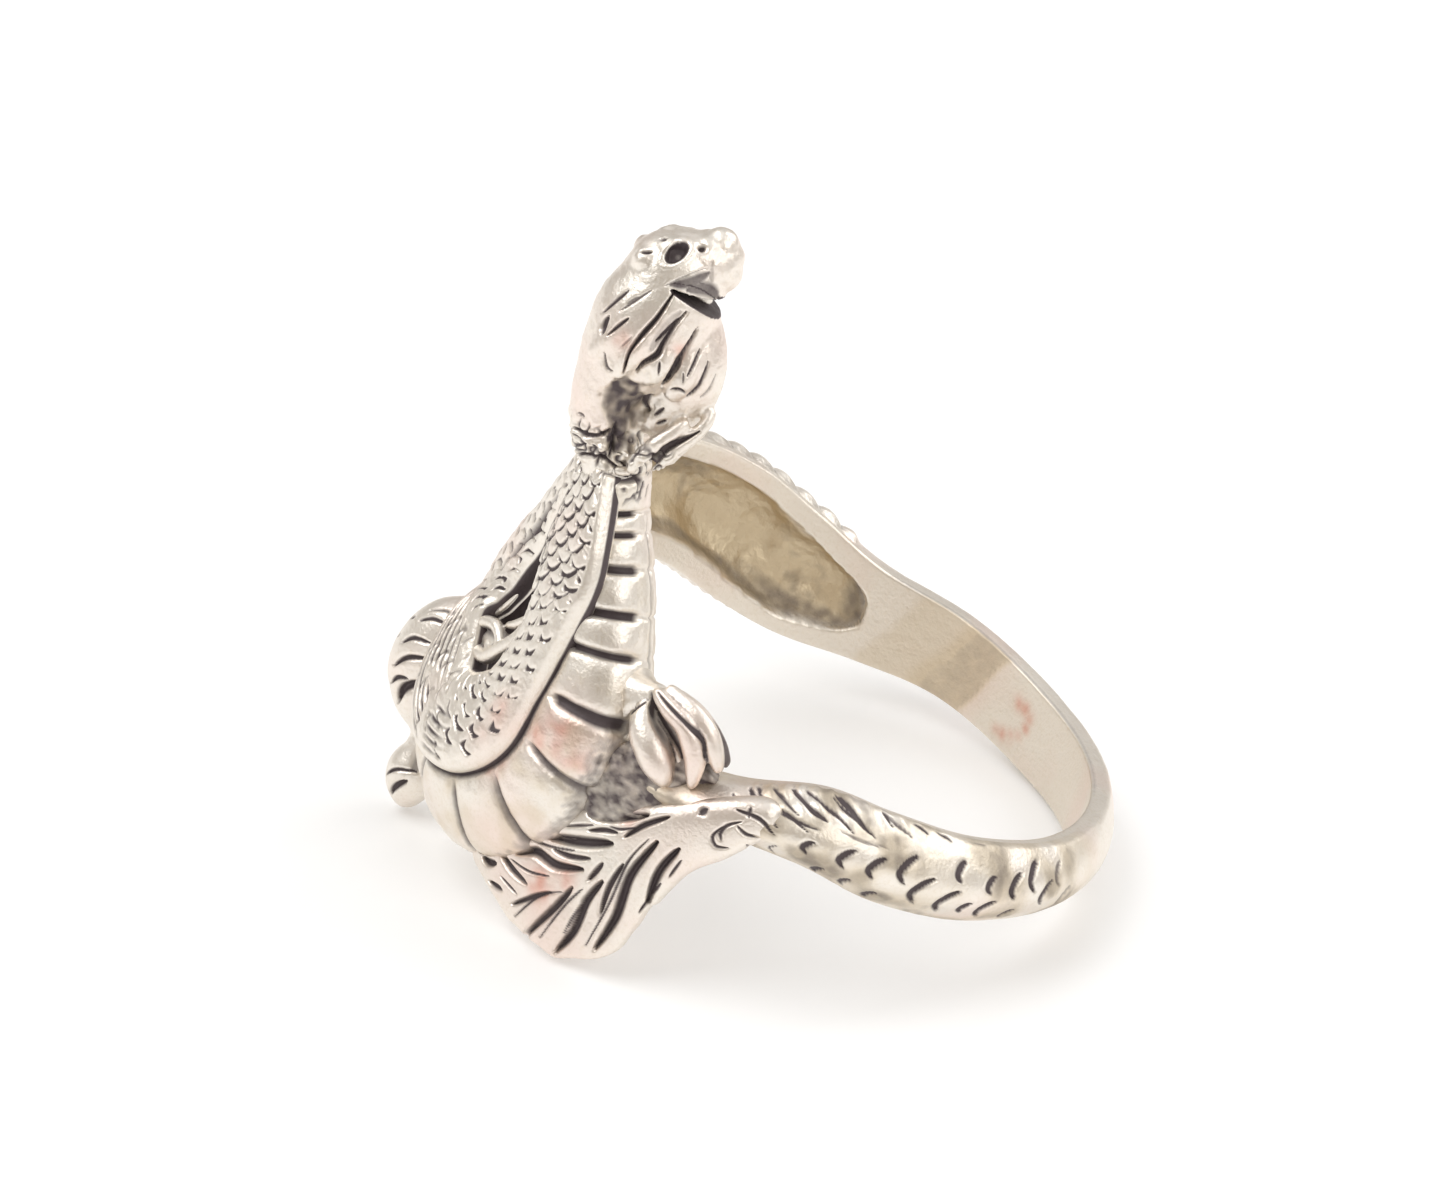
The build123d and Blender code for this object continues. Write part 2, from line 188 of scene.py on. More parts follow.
# What a plain form gets at each of its points: relief outwards, darkening (tarnish, and painted shade where
# noted) and roughness.
class Skin:
    def __init__(self, points):
        self.rise, self.dark, self.rough = np.zeros((3, *points.shape[:-1]))

    def darken(self, amount):
        self.dark = np.maximum(self.dark, amount)

    def roughen(self, amount):
        self.rough = np.maximum(self.rough, amount)

    def groove(self, mask, depth, shade):
        self.rise -= depth * mask
        self.darken(shade * mask)


def alone(*pieces):
    bpy.ops.object.select_all(action="DESELECT")
    for piece in pieces:
        piece.select_set(True)
    bpy.context.view_layer.objects.active = pieces[0]


def mend(piece, gap):
    # merged seams, nothing loose and normals outwards
    alone(piece)
    bpy.ops.object.mode_set(mode="EDIT")
    bpy.ops.mesh.select_all(action="SELECT")
    bpy.ops.mesh.remove_doubles(threshold=gap)
    bpy.ops.mesh.delete_loose()
    bpy.ops.mesh.select_all(action="SELECT")
    bpy.ops.mesh.normals_make_consistent(inside=False)
    bpy.ops.object.mode_set(mode="OBJECT")


def gridMesh(shape):
    bpy.ops.object.select_all(action="DESELECT")
    bpy.ops.mesh.primitive_grid_add(x_subdivisions=shape[1] - 1, y_subdivisions=shape[0] - 1, size=1)
    return bpy.context.active_object


def dress(piece, name, points, normals, skin, stains=(), offFinger=True):
    # the piece's final places, its attributes and smooth shading
    points = points + normals * skin.rise[..., None]
    if offFinger:
        points = keepOffFinger(points)
    stain = np.zeros(points.shape[:-1])
    for *spot, size in stains:
        stain = np.maximum(stain, dent(np.linalg.norm(points - np.array(spot), axis=-1), size))
    stain = stain * (0.75 + 0.5 * lumps(points, 0.3, 2))
    piece.name = piece.data.name = name
    piece.data.vertices.foreach_set("co", layDown(points).ravel())
    for key, values in (("tarnish", skin.dark), ("rough", skin.rough), ("stain", stain)):
        attribute = piece.data.attributes.new(key, "FLOAT", "POINT")
        attribute.data.foreach_set("value", np.clip(values, 0, 1).ravel().astype(np.float32))
    mend(piece, mergeGap)
    bpy.ops.object.shade_smooth()
    print(name, len(piece.data.polygons), "faces")
    return piece


def gridPiece(name, points, skin, stains=(), offFinger=True):
    # a closed skin from a grid of points: its last column meets its first
    return dress(gridMesh(points.shape[:2]), name, points, outside(points), skin, stains, offFinger)


def toLine(spots, line):
    # how far each spot is from a line of points, and where along it, from 0 to 1
    best, part = np.full(len(spots), 1e9), np.zeros(len(spots))
    for index, (start, end) in enumerate(zip(line[:-1], line[1:])):
        step, offset = end - start, spots - start
        t = np.clip(offset @ step / max(step @ step, 1e-12), 0, 1)
        distance = np.linalg.norm(offset - t[:, None] * step, axis=1)
        closer = distance < best
        best[closer] = distance[closer]
        part[closer] = (index + t[closer]) / (len(line) - 1)
    return best, part


# Strokes: each has its width and strength and then u and v of its points, which are
# two coordinates of the surface. size is the length in mm of one unit of u.
def cutStrokes(u, v, strokes, size=1.0):
    sizes = np.array([size, 1.0])
    depth, dark = np.zeros(u.shape), np.zeros(u.shape)
    for width, strength, *spots in strokes:
        bends = along(np.reshape(spots, (-1, 2)), 24)
        low, high = bends.min(0) - 4 * width / sizes, bends.max(0) + 4 * width / sizes
        near = (u > low[0]) & (u < high[0]) & (v > low[1]) & (v < high[1])
        away, part = toLine(np.stack([u[near], v[near]], 1) * sizes, bends * sizes)
        # narrower towards both ends
        reach = width * (0.2 + 0.8 * np.sin(math.pi * np.clip(part, 0.02, 0.98)) ** 0.7)
        depth[near] = np.maximum(depth[near], dent(away, reach) * strength)
        shade = np.clip(1.35 * dent(away, reach * 1.05), 0, 1) * min(1, strength * 12)
        dark[near] = np.maximum(dark[near], shade)
    return depth, dark


# Overlapping scales: rows of rounded free edges, each row half a scale aside.
disorder = np.random.default_rng(7).uniform(-1, 1, (3, 64, 64))


def scales(across, down, lap):
    # across and down count scales; returns the rise to the free edge, how near the edge
    # is and how far right or left of the scale's middle
    row = np.floor(down) - 1
    rise, aside = np.zeros_like(across), np.zeros_like(across)
    nearEdge = np.full_like(across, 9.0)
    found = np.zeros(across.shape, bool)
    for current in (row, row + 1, row + 2):
        x = across + 0.5 * np.mod(current, 2)
        cell = np.mod(current, 64).astype(int), np.mod(np.floor(x), 64).astype(int)
        x = x - np.floor(x) - 0.5
        middle = x + 0.12 * disorder[0][cell] * (1 - 4 * x * x)
        edge = current + 1 + (lap * 0.95 + 0.16 * disorder[1][cell]) * np.clip(1 - (2 * middle) ** 2, 0, 1)
        inside = (down <= edge) & ~found
        rise[inside] = np.clip((down - current) / (edge - current), 0, 1)[inside]
        found |= inside
        closer = (~found | inside) & (np.abs(down - edge) < np.abs(nearEdge))
        nearEdge[closer] = (down - edge)[closer]
        aside[closer] = (2 * middle + 0.15 * disorder[2][cell])[closer]
    return rise, nearEdge, aside


# Band: the tail from below the foot, round the back of the finger and up the far
# side as the hollow arm. Rows: angle, lower rim, upper rim, wall at the crown, wall
# at the rims. Pocket rows: angle, lower edge, upper edge, depth.
band = {
    "rows": [
        (20, -0.5, 0.7, 1.8, 1), (40, -0.4, 1.2, 1.9, 0.9), (57, -0.6, 1.9, 1.8, 0.6),
        (72, -1.2, 1.65, 1.6, 0.5), (90, -1.5, 1.2, 1.48, 0.5), (112, -1.5, 0.9, 1.33, 0.55),
        (135, -1.4, 0.9, 1.12, 0.6), (160, -1.4, 1.1, 1.02, 0.65), (185, -1.25, 1.45, 1.04, 0.7),
        (210, -0.7, 2.15, 1.2, 0.75), (230, -0.7, 2.6, 1.4, 0.8), (247, -0.6, 3.8, 1.7, 0.9),
        (262, 0.1, 4.95, 1.93, 1.1), (280, 1.4, 5.8, 1.95, 1.1), (300, 2.2, 6.3, 1.8, 1),
        (320, 2.8, 6.6, 1.4, 0.8), (334, 3.3, 6.8, 1.3, 0.7), (344, 4.9, 7.2, 1.2, 0.7),
        (353, 6.4, 7.5, 1.1, 0.6)],
    "pocket": [
        (231, 0.75, 1.25, 0.02), (232.5, 0.4, 1.6, 0.35), (236, 0.12, 2, 0.6), (241, 0.02, 2.4, 0.7),
        (250, 0.1, 3.25, 0.85), (262, 0.92, 4.2, 1.15), (280, 2.3, 5.1, 1.3), (300, 3.1, 5.6, 1),
        (314, 3.5, 5.8, 0.6), (323, 4.2, 5.5, 0.05)],
    "angleSteps": [(20, 0.45), (112, 0.8), (225, 0.5), (353, 0.5)],
    "around": (58, 8, 62), "cornerRounds": 3, "endAngle": 3, "degree": 0.178,
    # pinkish stains: x y z and size of each
    "stains": [
        (-1.6, 8.55, 0.65, 0.28), (-1.25, 8.6, 0.62, 0.25), (-0.9, 8.65, 0.45, 0.25),
        (-0.95, 8.65, 0.1, 0.22), (-1.15, 8.6, -0.3, 0.22), (-1.45, 8.6, -0.5, 0.24),
        (-1.8, 8.5, -0.6, 0.24), (-2.1, 8.45, -0.6, 0.2)],
    # bumps on both rims: place across, start, end, pitch and height
    "bumps": [(0.9, 236, 306, 5.6, 0.2), (-0.9, 245, 300, 3.0, 0.16)],
    # marks on the tail: angle, height, size and depth of each crescent; hair as strokes
    "marks": [
        (55.5, 0.55, 0.5, 0.1), (62, 0.5, 0.75, 0.1), (67.4, 0.4, 0.8, 0.1), (73, 0.5, 0.95, 0.11),
        (76.4, -0.15, 1.15, 0.13), (82.2, -0.45, 1.1, 0.13), (84.2, 0.6, 0.6, 0.08), (91, 0.25, 0.55, 0.08),
        (96.8, 0.15, 0.85, 0.12), (101.6, 0.35, 0.9, 0.11), (87, -0.6, 0.5, 0.08), (91.2, -0.65, 0.8, 0.11),
        (105, -0.2, 0.9, 0.06), (97.8, -0.9, 0.5, 0.06), (58.8, -0.35, 0.45, 0.08), (64, -0.45, 0.45, 0.06),
        (69.2, -0.75, 0.5, 0.07), (43.5, 0.1, 0.75, 0.09), (109, 0.3, 0.7, 0.05), (112, -0.5, 0.8, 0.04)],
    "hair": [
        (0.06, 0.1, 56.8, 2.1, 62, 1.75, 66.6, 1.33), (0.055, 0.1, 64.9, 2.25, 68.1, 1.87, 71.1, 1.45),
        (0.055, 0.09, 51, 1.75, 55.9, 1.5, 58.8, 1.36), (0.07, 0.1, 44, 1.35, 48, 1.1, 51, 0.85),
        (0.05, 0.08, 70.5, 2, 74, 1.7, 78.5, 1.4), (0.05, 0.07, 76, 1.8, 80, 1.5, 84, 1.25),
        (0.05, 0.07, 46.5, 1.35, 52, 1.2, 58, 1.1), (0.045, 0.07, 59, 1.85, 64, 1.5, 68, 1.2),
        (0.045, 0.07, 53, 1.85, 58, 1.65, 62, 1.4, 64, 1.2), (0.045, 0.07, 47, 1.6, 50, 1.5, 54, 1.3),
        (0.045, 0.06, 67, 2, 71, 1.6, 75, 1.3), (0.04, 0.05, 82, 1.6, 87, 1.3, 92, 1.15),
        (0.055, 0.08, 42, 1.1, 45.5, 0.85, 48, 0.55), (0.06, 0.09, 44, 0.96, 48, 0.91, 51, 0.58),
        (0.05, 0.08, 50, 1.27, 53, 1.2, 56, 1), (0.05, 0.08, 41, 1.37, 45, 1.46, 47, 1.26),
        (0.05, 0.07, 52, 0.2, 51, -0.05, 52, -0.3), (0.04, 0.05, 61, 1.25, 66, 1.05, 71, 1)],
    # noise on the hollow's floor and the scales outside the arm
    "floorLumps": [(0.22, 1.4, 3), (0.04, 0.5, 4), (0.02, 0.17, 6)],
    "scalesAcross": 2.6, "scaleLength": 0.62, "scaleRise": 0.07, "scaleCut": 0.09,
    # where each look fades in and out again, round the finger
    "hairZone": (40, 48, 74, 84), "armScales": (226, 246, 330, 345), "rimShade": (130, 150, 225, 235),
    "dull": (201, 202.5, 214, 218), "lessDull": (214, 218, 227, 230), "dullReach": (130, 170, 300, 330),
    "patch": (201, 202.5, 212, 216), "tailEnd": (112, 135),
}


def crescent(angle, height, size, depth):
    # a stroke that bends like a bracket, in shares of its lean and size
    lean, width = 2.6 * size, 0.115
    bends = [(1, 0.46), (0.3, 0.26), (-0.15, -0.1), (0.35, -0.42)]
    spots = [(angle + 0.9 + x * lean, height - 0.06 + y * size) for x, y in bends]
    return (width, 1.1 * depth, *np.ravel(spots))


def makeBand():
    steps = band["angleSteps"]
    spans = [np.arange(start, end, step) for (start, step), (end, _) in zip(steps, steps[1:])]
    angles = np.concatenate(spans + [[steps[-1][0]]])[:, None]
    table, pocket = along(band["rows"], 900), along(band["pocket"], 500)
    low, high, thick, rim = [np.interp(angles, table[:, 0], values) for values in table.T[1:]]
    pocketLow, pocketHigh, pocketDepth = [np.interp(angles, pocket[:, 0], values) for values in pocket.T[1:]]
    inPocket = (angles >= pocket[0, 0]) & (angles <= pocket[-1, 0])
    innerCount, rimCount, outerCount = band["around"]
    # one section: up the finger side, out over the top rim, down the outside, back under
    up, outward = np.linspace(0, 1, innerCount), np.linspace(0, 1, rimCount)[1:]
    down = np.linspace(1, -1, outerCount)[1:]
    middle, half = (low + high) / 2, (high - low) / 2
    inner = low + up * (high - low)
    q = (inner - (pocketLow + pocketHigh) / 2) / np.maximum((pocketHigh - pocketLow) / 2, 0.05)
    hollow = np.where(inPocket, pocketDepth * np.sqrt(np.clip(1 - q * q, 0, 1)), 0)
    over, under = outward * rim, outward[::-1][1:] * rim
    wall = np.hstack([hollow * 0, over, rim + (thick - rim) * (1 - down ** 2), under])
    z = np.hstack([inner, high + 0 * over, middle + half * down, low + 0 * under])
    for _ in range(band["cornerRounds"]):
        wall, z = [0.5 * grid + 0.25 * (np.roll(grid, 1, 1) + np.roll(grid, -1, 1)) for grid in (wall, z)]
    wall[:, :innerCount] = np.maximum(wall[:, :innerCount] * 0.4, 0) + hollow
    fromEnd = np.minimum(angles - angles[0], angles[-1] - angles) / band["endAngle"]
    closing = np.sqrt(np.clip(fromEnd, 0, 1))
    wall, z = wall * closing, middle + (z - middle) * closing
    turn, radius = np.radians(angles), ring["fingerRadius"] + wall
    points = np.stack([radius * np.sin(turn), -radius * np.cos(turn), z], -1)
    skin = Skin(points)
    angle, across = np.broadcast_to(angles, z.shape), (z - middle) / np.maximum(half, 0.1)
    column = np.arange(z.shape[1])
    outer = (column >= innerCount) & (wall > 0.45 * rim)

    def onInside(values):
        # the values on the finger side, nothing on the rest
        return np.hstack([values, np.zeros((len(z), z.shape[1] - innerCount))])

    strokes = [crescent(*mark) for mark in band["marks"]] + band["hair"]
    depth, cut = cutStrokes(angle, z, strokes, band["degree"])
    topFace = (column >= innerCount) & (column < innerCount + rimCount - 2)
    cutHere = outer * np.where(topFace, 0.35, 1.0)
    skin.rise -= depth * cutHere
    skin.darken(cut * cutHere)
    hairZone = fade(z, 1.15, 1.55) * within(angle, *band["hairZone"]) * outer
    skin.rise += hairZone * 0.03 * (1 + np.sin((angle * band["degree"] + z * 0.9) * 11))

    # scales over the arm's outside, which the photo doesn't show, bumps on both rims
    armSide = within(angle, *band["armScales"]) * outer
    down = (angle - 220) * band["degree"] / band["scaleLength"]
    lift, gap, _ = scales(across * band["scalesAcross"] + 0.25, down, 0.45)
    shape = band["scaleRise"] * lift - band["scaleCut"] * dent(gap, 0.13)
    skin.rise += armSide * shape * (1 - fade(np.abs(across), 0.72, 0.86))
    skin.darken(armSide * 0.85 * dent(gap, 0.12) * (1 - fade(np.abs(across), 0.7, 0.82)))
    for place, start, end, pitch, height in band["bumps"]:
        span = within(angle, start, start + 3, end - 3, end) * outer
        wave = np.abs(np.sin(math.pi * (angle - start) / pitch)) ** 0.7
        skin.rise += span * height * wave * dent(across - place, 0.2)
        skin.darken(span * 0.8 * dent(across - place, 0.16) * (1 - fade(wave, 0.05, 0.45)))

    # the pocket's rough cast floor, with painted shade at its near end and along its lower wall, and a thin
    # line of it along both walls
    floor = onInside(fade(hollow, 0.08, 0.4))
    skin.rise += floor * layered(points, band["floorLumps"])
    skin.roughen(floor)
    mottled = 0.1 + 0.3 * fade(lumps(points, 1.2, 9), -0.3, 0.7) + 0.14 * lumps(points, 0.25, 10)
    skin.darken(floor * mottled)
    skin.darken(floor * 0.5 * (1 - fade(angle, 234, 240)))
    lowWallShade = (1 - fade(q, -0.72, -0.2)) * (1 - fade(angles, 248, 275))
    pocketShade = onInside(np.maximum(lowWallShade, 1 - fade(angles, 234.5, 238.5)))
    skin.darken(fade(floor, 0, 0.4) * pocketShade * (0.53 + 0.12 * lumps(points, 0.25, 20)))
    skin.darken(0.52 * onInside(inPocket * dent(q + 0.88, 0.16)))
    skin.darken(0.22 * onInside(inPocket * dent(np.abs(q) - 0.97, 0.05)))

    # dull beige on the polished inside next to the hollow
    polished = (1 - floor) * (column < innerCount)
    lean = angle + 3.5 * z + 1.2 * lumps(points, 1.2, 14)
    dull = 0.2 + 0.55 * within(lean, *band["dull"]) + 0.3 * within(lean, *band["lessDull"])
    skin.roughen(polished * dull * within(angle, *band["dullReach"]))
    skin.darken(0.3 * polished * within(lean, *band["patch"]))
    # painted shadow of the top rim along the inner top corner
    skin.darken(0.42 * dent(column - innerCount, 1.3) * within(angle, *band["rimShade"]))
    skin.rise += (1 - floor) * (0.012 * lumps(points, 1.6, 5) + 0.008 * lumps(points, 0.3, 8) * outer)

    # the tail's outside is duller and warmer than the rest, and carries painted shade that streaks make
    # uneven
    tailSide = outer * (1 - fade(angle, *band["tailEnd"])) * fade(lumps(points, 0.8, 17), -0.8, 0.6)
    skin.roughen(0.7 * tailSide)
    streaks = lumps(points * np.array([1, 1, 0.4]), 0.25, 25)
    skin.darken(tailSide * (0.4 + 0.15 * fade(streaks, -0.2, 0.6)))
    skin.darken(0.45 * hairZone * fade(lumps(points, 0.35, 18), -0.3, 0.7))
    skin.rise, skin.dark, skin.rough = [wrapped(values) for values in (skin.rise, skin.dark, skin.rough)]
    return gridPiece("tailBand", wrapped(points), skin, band["stains"], offFinger=False)


# Coil: the belly side of the body, from the neck down, round under the loop's hole
# and up again behind it. Rows: x y z, half width in the face, half depth.
coil = {
    "centre": (-2.6, -10.5, 2.7),
    "rows": [
        (-0.5, -10.2, 9, 0.85, 1), (-0.35, -9.95, 7, 1.02, 1.15), (0.25, -9.8, 5.2, 1.4, 1.25),
        (0.85, -9.8, 3.2, 1.85, 1.45), (1.1, -9.9, 1, 2.45, 1.65), (0.3, -10, -1.2, 2.9, 1.75),
        (-1.8, -10.15, -2.4, 2.9, 1.85), (-3.7, -10, -1.5, 2.35, 1.65), (-4.5, -9.6, 0.1, 1.5, 1.35),
        (-4.5, -9.4, 2, 1, 1.1), (-3.9, -9.4, 3.6, 0.95, 1.1), (-3, -9.5, 5, 1, 1.1),
        (-1.9, -9.8, 6.6, 1.05, 1.1), (-1, -10, 8.2, 0.9, 1)],
    "step": 0.085, "square": 2.4,
    # places of the belly grooves along the rows, and how strong each is
    "scuteEdges": [0.17, 0.43, 0.98, 1.39, 1.93, 2.58, 3.08, 3.78, 4.42, 5.1, 5.75, 6.35, 6.95, 7.5],
    "edgeStrengths": [1, 1, 1, 1, 1, 1, 1, 1, 0.6, 0.55, 0.45, 0.4, 0.4, 0.4],
    "swell": 0.1, "groove": 0.26, "grooveWidth": 0.1, "besideStrip": 0.19,
    "scaleLength": 0.42, "scaleAngle": 34, "lowerLumps": [(0.012, 0.16, 15), (0.02, 0.5, 16)],
    "crumbs": (0.18, [(1, 0.34, 28), (0.4, 0.17, 29)]),
    "stains": [
        (2.7, -11.4, 0.7, 0.75), (2.1, -11.5, 0.3, 0.5), (0.4, -11.5, -1.4, 0.6), (3.4, -11.0, 0.2, 0.5)],
    # where each look fades in and out again, round the section and along the limb
    "belly": (-75, -45, 78, 92), "deepest": (-8, 14, 72, 86), "rimRun": (1.5, 3, 9.5, 11),
    "farScales": (-30, -5, 140, 165), "byWeb": (-30, -8, 22, 48), "webRun": (7.2, 8.6, 11.2, 12.6),
}


def fromCentre(spots):
    return spots - np.array(coil["centre"])


def stripEdge():
    # the strip's lower outer edge, as a line of points
    made = limb(strip["rows"], fromCentre, 0.25, strip["square"])
    return made["points"][:, np.argmax(made["across"][0])]


def makeCoil():
    made = limb(coil["rows"], fromCentre, coil["step"], coil["square"], tight=True)
    points, run = made["points"], made["run"]
    skin = Skin(points)
    angle = np.degrees(np.arctan2(made["height"], made["across"]))
    edges = np.interp(coil["scuteEdges"], made["place"][:, 0], run[:, 0])
    # where each point lies between the two scute edges round it
    index = np.clip(np.searchsorted(edges, run) - 1, 0, len(edges) - 2)
    span = edges[index + 1] - edges[index]
    part = np.clip((run - edges[index]) / span, 0, 1)
    side = within(angle, *coil["belly"])
    scutes = within(run, edges[0] - 0.2, edges[0] + 0.1, edges[-1], edges[-1] + 0.4) * side
    lens = within(angle, *coil["deepest"])
    deep = scutes * (0.25 + 0.75 * lens)
    skin.rise += coil["swell"] * np.minimum(span, 1.2) * np.sin(math.pi * part) ** 0.5 * deep
    gaps = np.abs(run[..., None] - edges)
    strength = np.array(coil["edgeStrengths"])[gaps.argmin(-1)]
    width = coil["grooveWidth"] * (0.75 + 0.35 * np.clip(span, 0.5, 1.6)) * (0.4 + 0.6 * strength)
    groove = dent(gaps.min(-1), width * (0.4 + 0.6 * lens))
    skin.rise -= coil["groove"] * groove * deep * strength
    skin.rise += 0.02 * lumps(points, 0.8, 11) + 0.014 * lumps(points, 0.22, 13) * side
    skin.darken(np.clip(1.5 * groove, 0, 1) * scutes * (0.18 + 0.82 * lens) * (0.4 + 0.6 * strength))
    # a thin line sets off the rim on the finger side
    skin.groove(dent(angle + 22, 4) * within(run, *coil["rimRun"]), 0.05, 0.45)
    lower = fade(run, 6, 10) * side
    skin.rise += lower * layered(points, coil["lowerLumps"])
    skin.roughen((0.2 + 0.2 * lower) * side * fade(lumps(points, 0.5, 12), -0.4, 0.8))
    # small scales on the far part of the loop
    farLoop = fade(run, 16.0, 17.5) * within(angle, *coil["farScales"])
    _, gap, aside = scales(angle / coil["scaleAngle"], run / coil["scaleLength"], 0.9)
    skin.groove(dent(gap, 0.2) * (1 - fade(np.abs(aside), 0.45, 0.8)) * farLoop, 0.07, 0.8)
    # crumbs below the collar, and grainy dark on the near edge, where the cast web starts
    skin.groove((1 - fade(run, 1.2, 1.9)) * seams(points, *coil["crumbs"]), 0.06, 0.85)
    byWeb = within(angle, *coil["byWeb"]) * side * within(run, *coil["webRun"])
    skin.darken(byWeb * (0.5 + 0.3 * lumps(points, 0.14, 19)))
    # dark beside the scaled strip; in the loop's hole and on the finger side tarnish and painted shade
    top, away = angle > 20, np.full(angle.shape, 9.0)
    away[top] = toLine(points[top], stripEdge())[0]
    skin.groove(dent(away, coil["besideStrip"] * (0.62 + 0.38 * fade(run, 5, 9))), 0.1, 0.95)
    # tarnish and painted shade on the faces towards the finger and the hole
    skin.darken(0.95 * fade(np.abs(angle), 118, 150))
    return gridPiece("coil", points, skin, coil["stains"])


# Scaled back: a blunt strip on the coil, round the same loop.
strip = {
    "rows": [
        (-0.95, -10.5, 9, 0.75, 0.5), (-0.45, -10.65, 7.4, 1.15, 0.55), (-0.2, -10.75, 5.8, 1.65, 0.55),
        (0.02, -10.85, 4.4, 1.72, 0.6), (0.24, -11.05, 2.95, 1.32, 0.65), (0.05, -11.22, 1.42, 1.33, 0.65),
        (-0.45, -11.42, -0.25, 1.52, 0.65), (-1.91, -11.55, -1.34, 1.6, 0.65),
        (-3.5, -11.35, -1.12, 1.5, 0.6), (-4.2, -10.85, 0.95, 1, 0.5), (-4.12, -10.3, 2, 1, 0.5),
        (-3.95, -10, 2.9, 1.1, 0.5), (-3.5, -9.9, 4, 1.05, 0.5), (-2.75, -9.95, 5.2, 1, 0.5),
        (-2, -10.2, 6.5, 0.9, 0.5), (-1.35, -10.45, 7.9, 0.65, 0.45)],
    "stains": [(0.5, -11.8, 0.2, 0.5), (0.1, -11.8, -0.7, 0.35)],
    "step": 0.05, "square": 3.2,
    # scales across the strip near the neck and on the far side, and the height of a row
    "acrossCount": (3.3, 2.0), "pitch": 0.4, "lap": 1.0, "scaleRise": 0.025, "scaleCut": 0.12,
    # long lines by the hole and on the lower far part: place across, width, strength
    "holeLines": [(-0.58, 0.035, 0.6), (-0.72, 0.04, 0.7), (-0.88, 0.04, 0.8)],
    "farLines": [
        (0.8, 0.045, 0.8), (0.62, 0.045, 0.95), (0.44, 0.05, 0.95), (0.24, 0.05, 0.9), (0.02, 0.05, 0.8),
        (-0.2, 0.05, 0.75), (-0.42, 0.045, 0.7)],
    # where each look fades in and out again along the strip
    "farRun": (10.8, 12.0, 15.2, 16.5), "holeRun": (1.2, 2.0, 5.6, 7.5), "wideRim": (4, 8, 11, 14),
    "crumbs": (0.2, [(1, 0.34, 26), (0.4, 0.17, 27)]),
}


def makeStrip():
    made = limb(strip["rows"], fromCentre, strip["step"], strip["square"])
    points, run, q = made["points"], made["run"], made["across"]
    skin, top = Skin(points), fade(made["height"], 0.35, 0.75)
    first, last = strip["acrossCount"]
    count = first + (last - first) * fade(run, 12.5, 15.5)
    # the scales grow longer below the neck
    down = (run - 0.26 * np.maximum(run - 5.5, 0)) / strip["pitch"] + (0.45 + 1.2 * fade(run, 4, 8)) * q
    lift, gap, aside = scales(q * count / 2 + 0.3, down, strip["lap"])
    outwards = q + 0.05 * within(run, *strip["wideRim"])
    inField = top * (1 - fade(outwards, 0.86, 0.94)) * (1 - fade(-q, 0.8, 0.92)) * fade(run, 0.4, 1.0)
    # near the neck the marks join into wavy lines, further on only the scales' tips are cut
    tips = 1 - fade(np.abs(aside), 0.4, 0.72)
    halves = 0.25 + 0.75 * fade(aside, -0.75, -0.2)
    farPart = within(run, *strip["farRun"])
    kept = np.maximum(tips, halves * (1 - fade(run, 3.6, 6.4)))
    kept = kept * (0.75 + 0.25 * fade(lumps(points, 0.5, 21), -0.6, 0.3)) * (1 - 0.6 * farPart)
    cut = dent(gap, np.where(gap > 0, 0.36, 0.15)) * kept
    shade = dent(gap, np.where(gap > 0, 0.32, 0.13)) * kept
    skin.rise += inField * (strip["scaleRise"] * lift * kept - strip["scaleCut"] * cut)
    skin.darken(inField * np.clip(1.5 * shade, 0, 1))
    # smooth rounded rim along the outer edge
    skin.rise += top * 0.035 * dent(q - 0.95, 0.05)
    wobble, broken = 0.05 * lumps(points, 0.9, 23), fade(lumps(points, 0.8, 24), -0.7, -0.1)
    for part, lines in ((within(run, *strip["holeRun"]), strip["holeLines"]), (farPart, strip["farLines"])):
        for place, width, strength in lines:
            skin.groove(top * part * dent(q - place - wobble, width) * strength * broken, 0.09, 1)
    # dark below the edges: towards the hole, as tarnish and painted shade, and under the outer rim
    skin.darken(0.9 * fade(-q, 0.93, 0.99) * (1 - fade(run, 26, 27)))
    wallTop = 0.15 - 0.17 * (1 - fade(run, 4, 9))
    skin.darken(0.9 * fade(q, 0.9, 0.97) * (1 - fade(made["height"], wallTop - 0.2, wallTop)))
    skin.rise += 0.012 * lumps(points, 0.25, 22) * top
    skin.groove((1 - fade(run, 0.9, 1.6)) * seams(points, *strip["crumbs"]), 0.07, 0.85)
    return gridPiece("scaledStrip", points, skin, strip["stains"])


# Blobs and limbs that are cast together are joined, remeshed to one skin and smoothed.
def blob(centre, radii):
    bpy.ops.object.select_all(action="DESELECT")
    bpy.ops.mesh.primitive_uv_sphere_add(segments=32, ring_count=16, radius=1)
    made = bpy.context.active_object
    made.data.transform(Matrix.Translation(centre) @ Matrix.Diagonal((*radii, 1)))
    return made


def limbMesh(rows, outwards, step=0.16, endRound=0.5):
    # a limb as a plain closed mesh in millimetres, for joining
    points = limb(rows, outwards, step, endRound=endRound)["points"]
    made = gridMesh(points.shape[:2])
    made.data.vertices.foreach_set("co", points.ravel())
    mend(made, limbGap)
    return made


def pointed(rows, step=0.16):
    # a limb of round section, such as a toe or a lock of hair: rows of x y z radius
    line = np.array(rows[-1][:3]) - np.array(rows[0][:3])
    return limbMesh([(*row, row[3]) for row in rows], np.cross((1, 0.3, 0.2), line), step, endRound=0.25)


def applied(piece, kind, **settings):
    alone(piece)
    modifier = piece.modifiers.new(kind.lower(), kind)
    for name, value in settings.items():
        setattr(modifier, name, value)
    bpy.ops.object.modifier_apply(modifier=modifier.name)


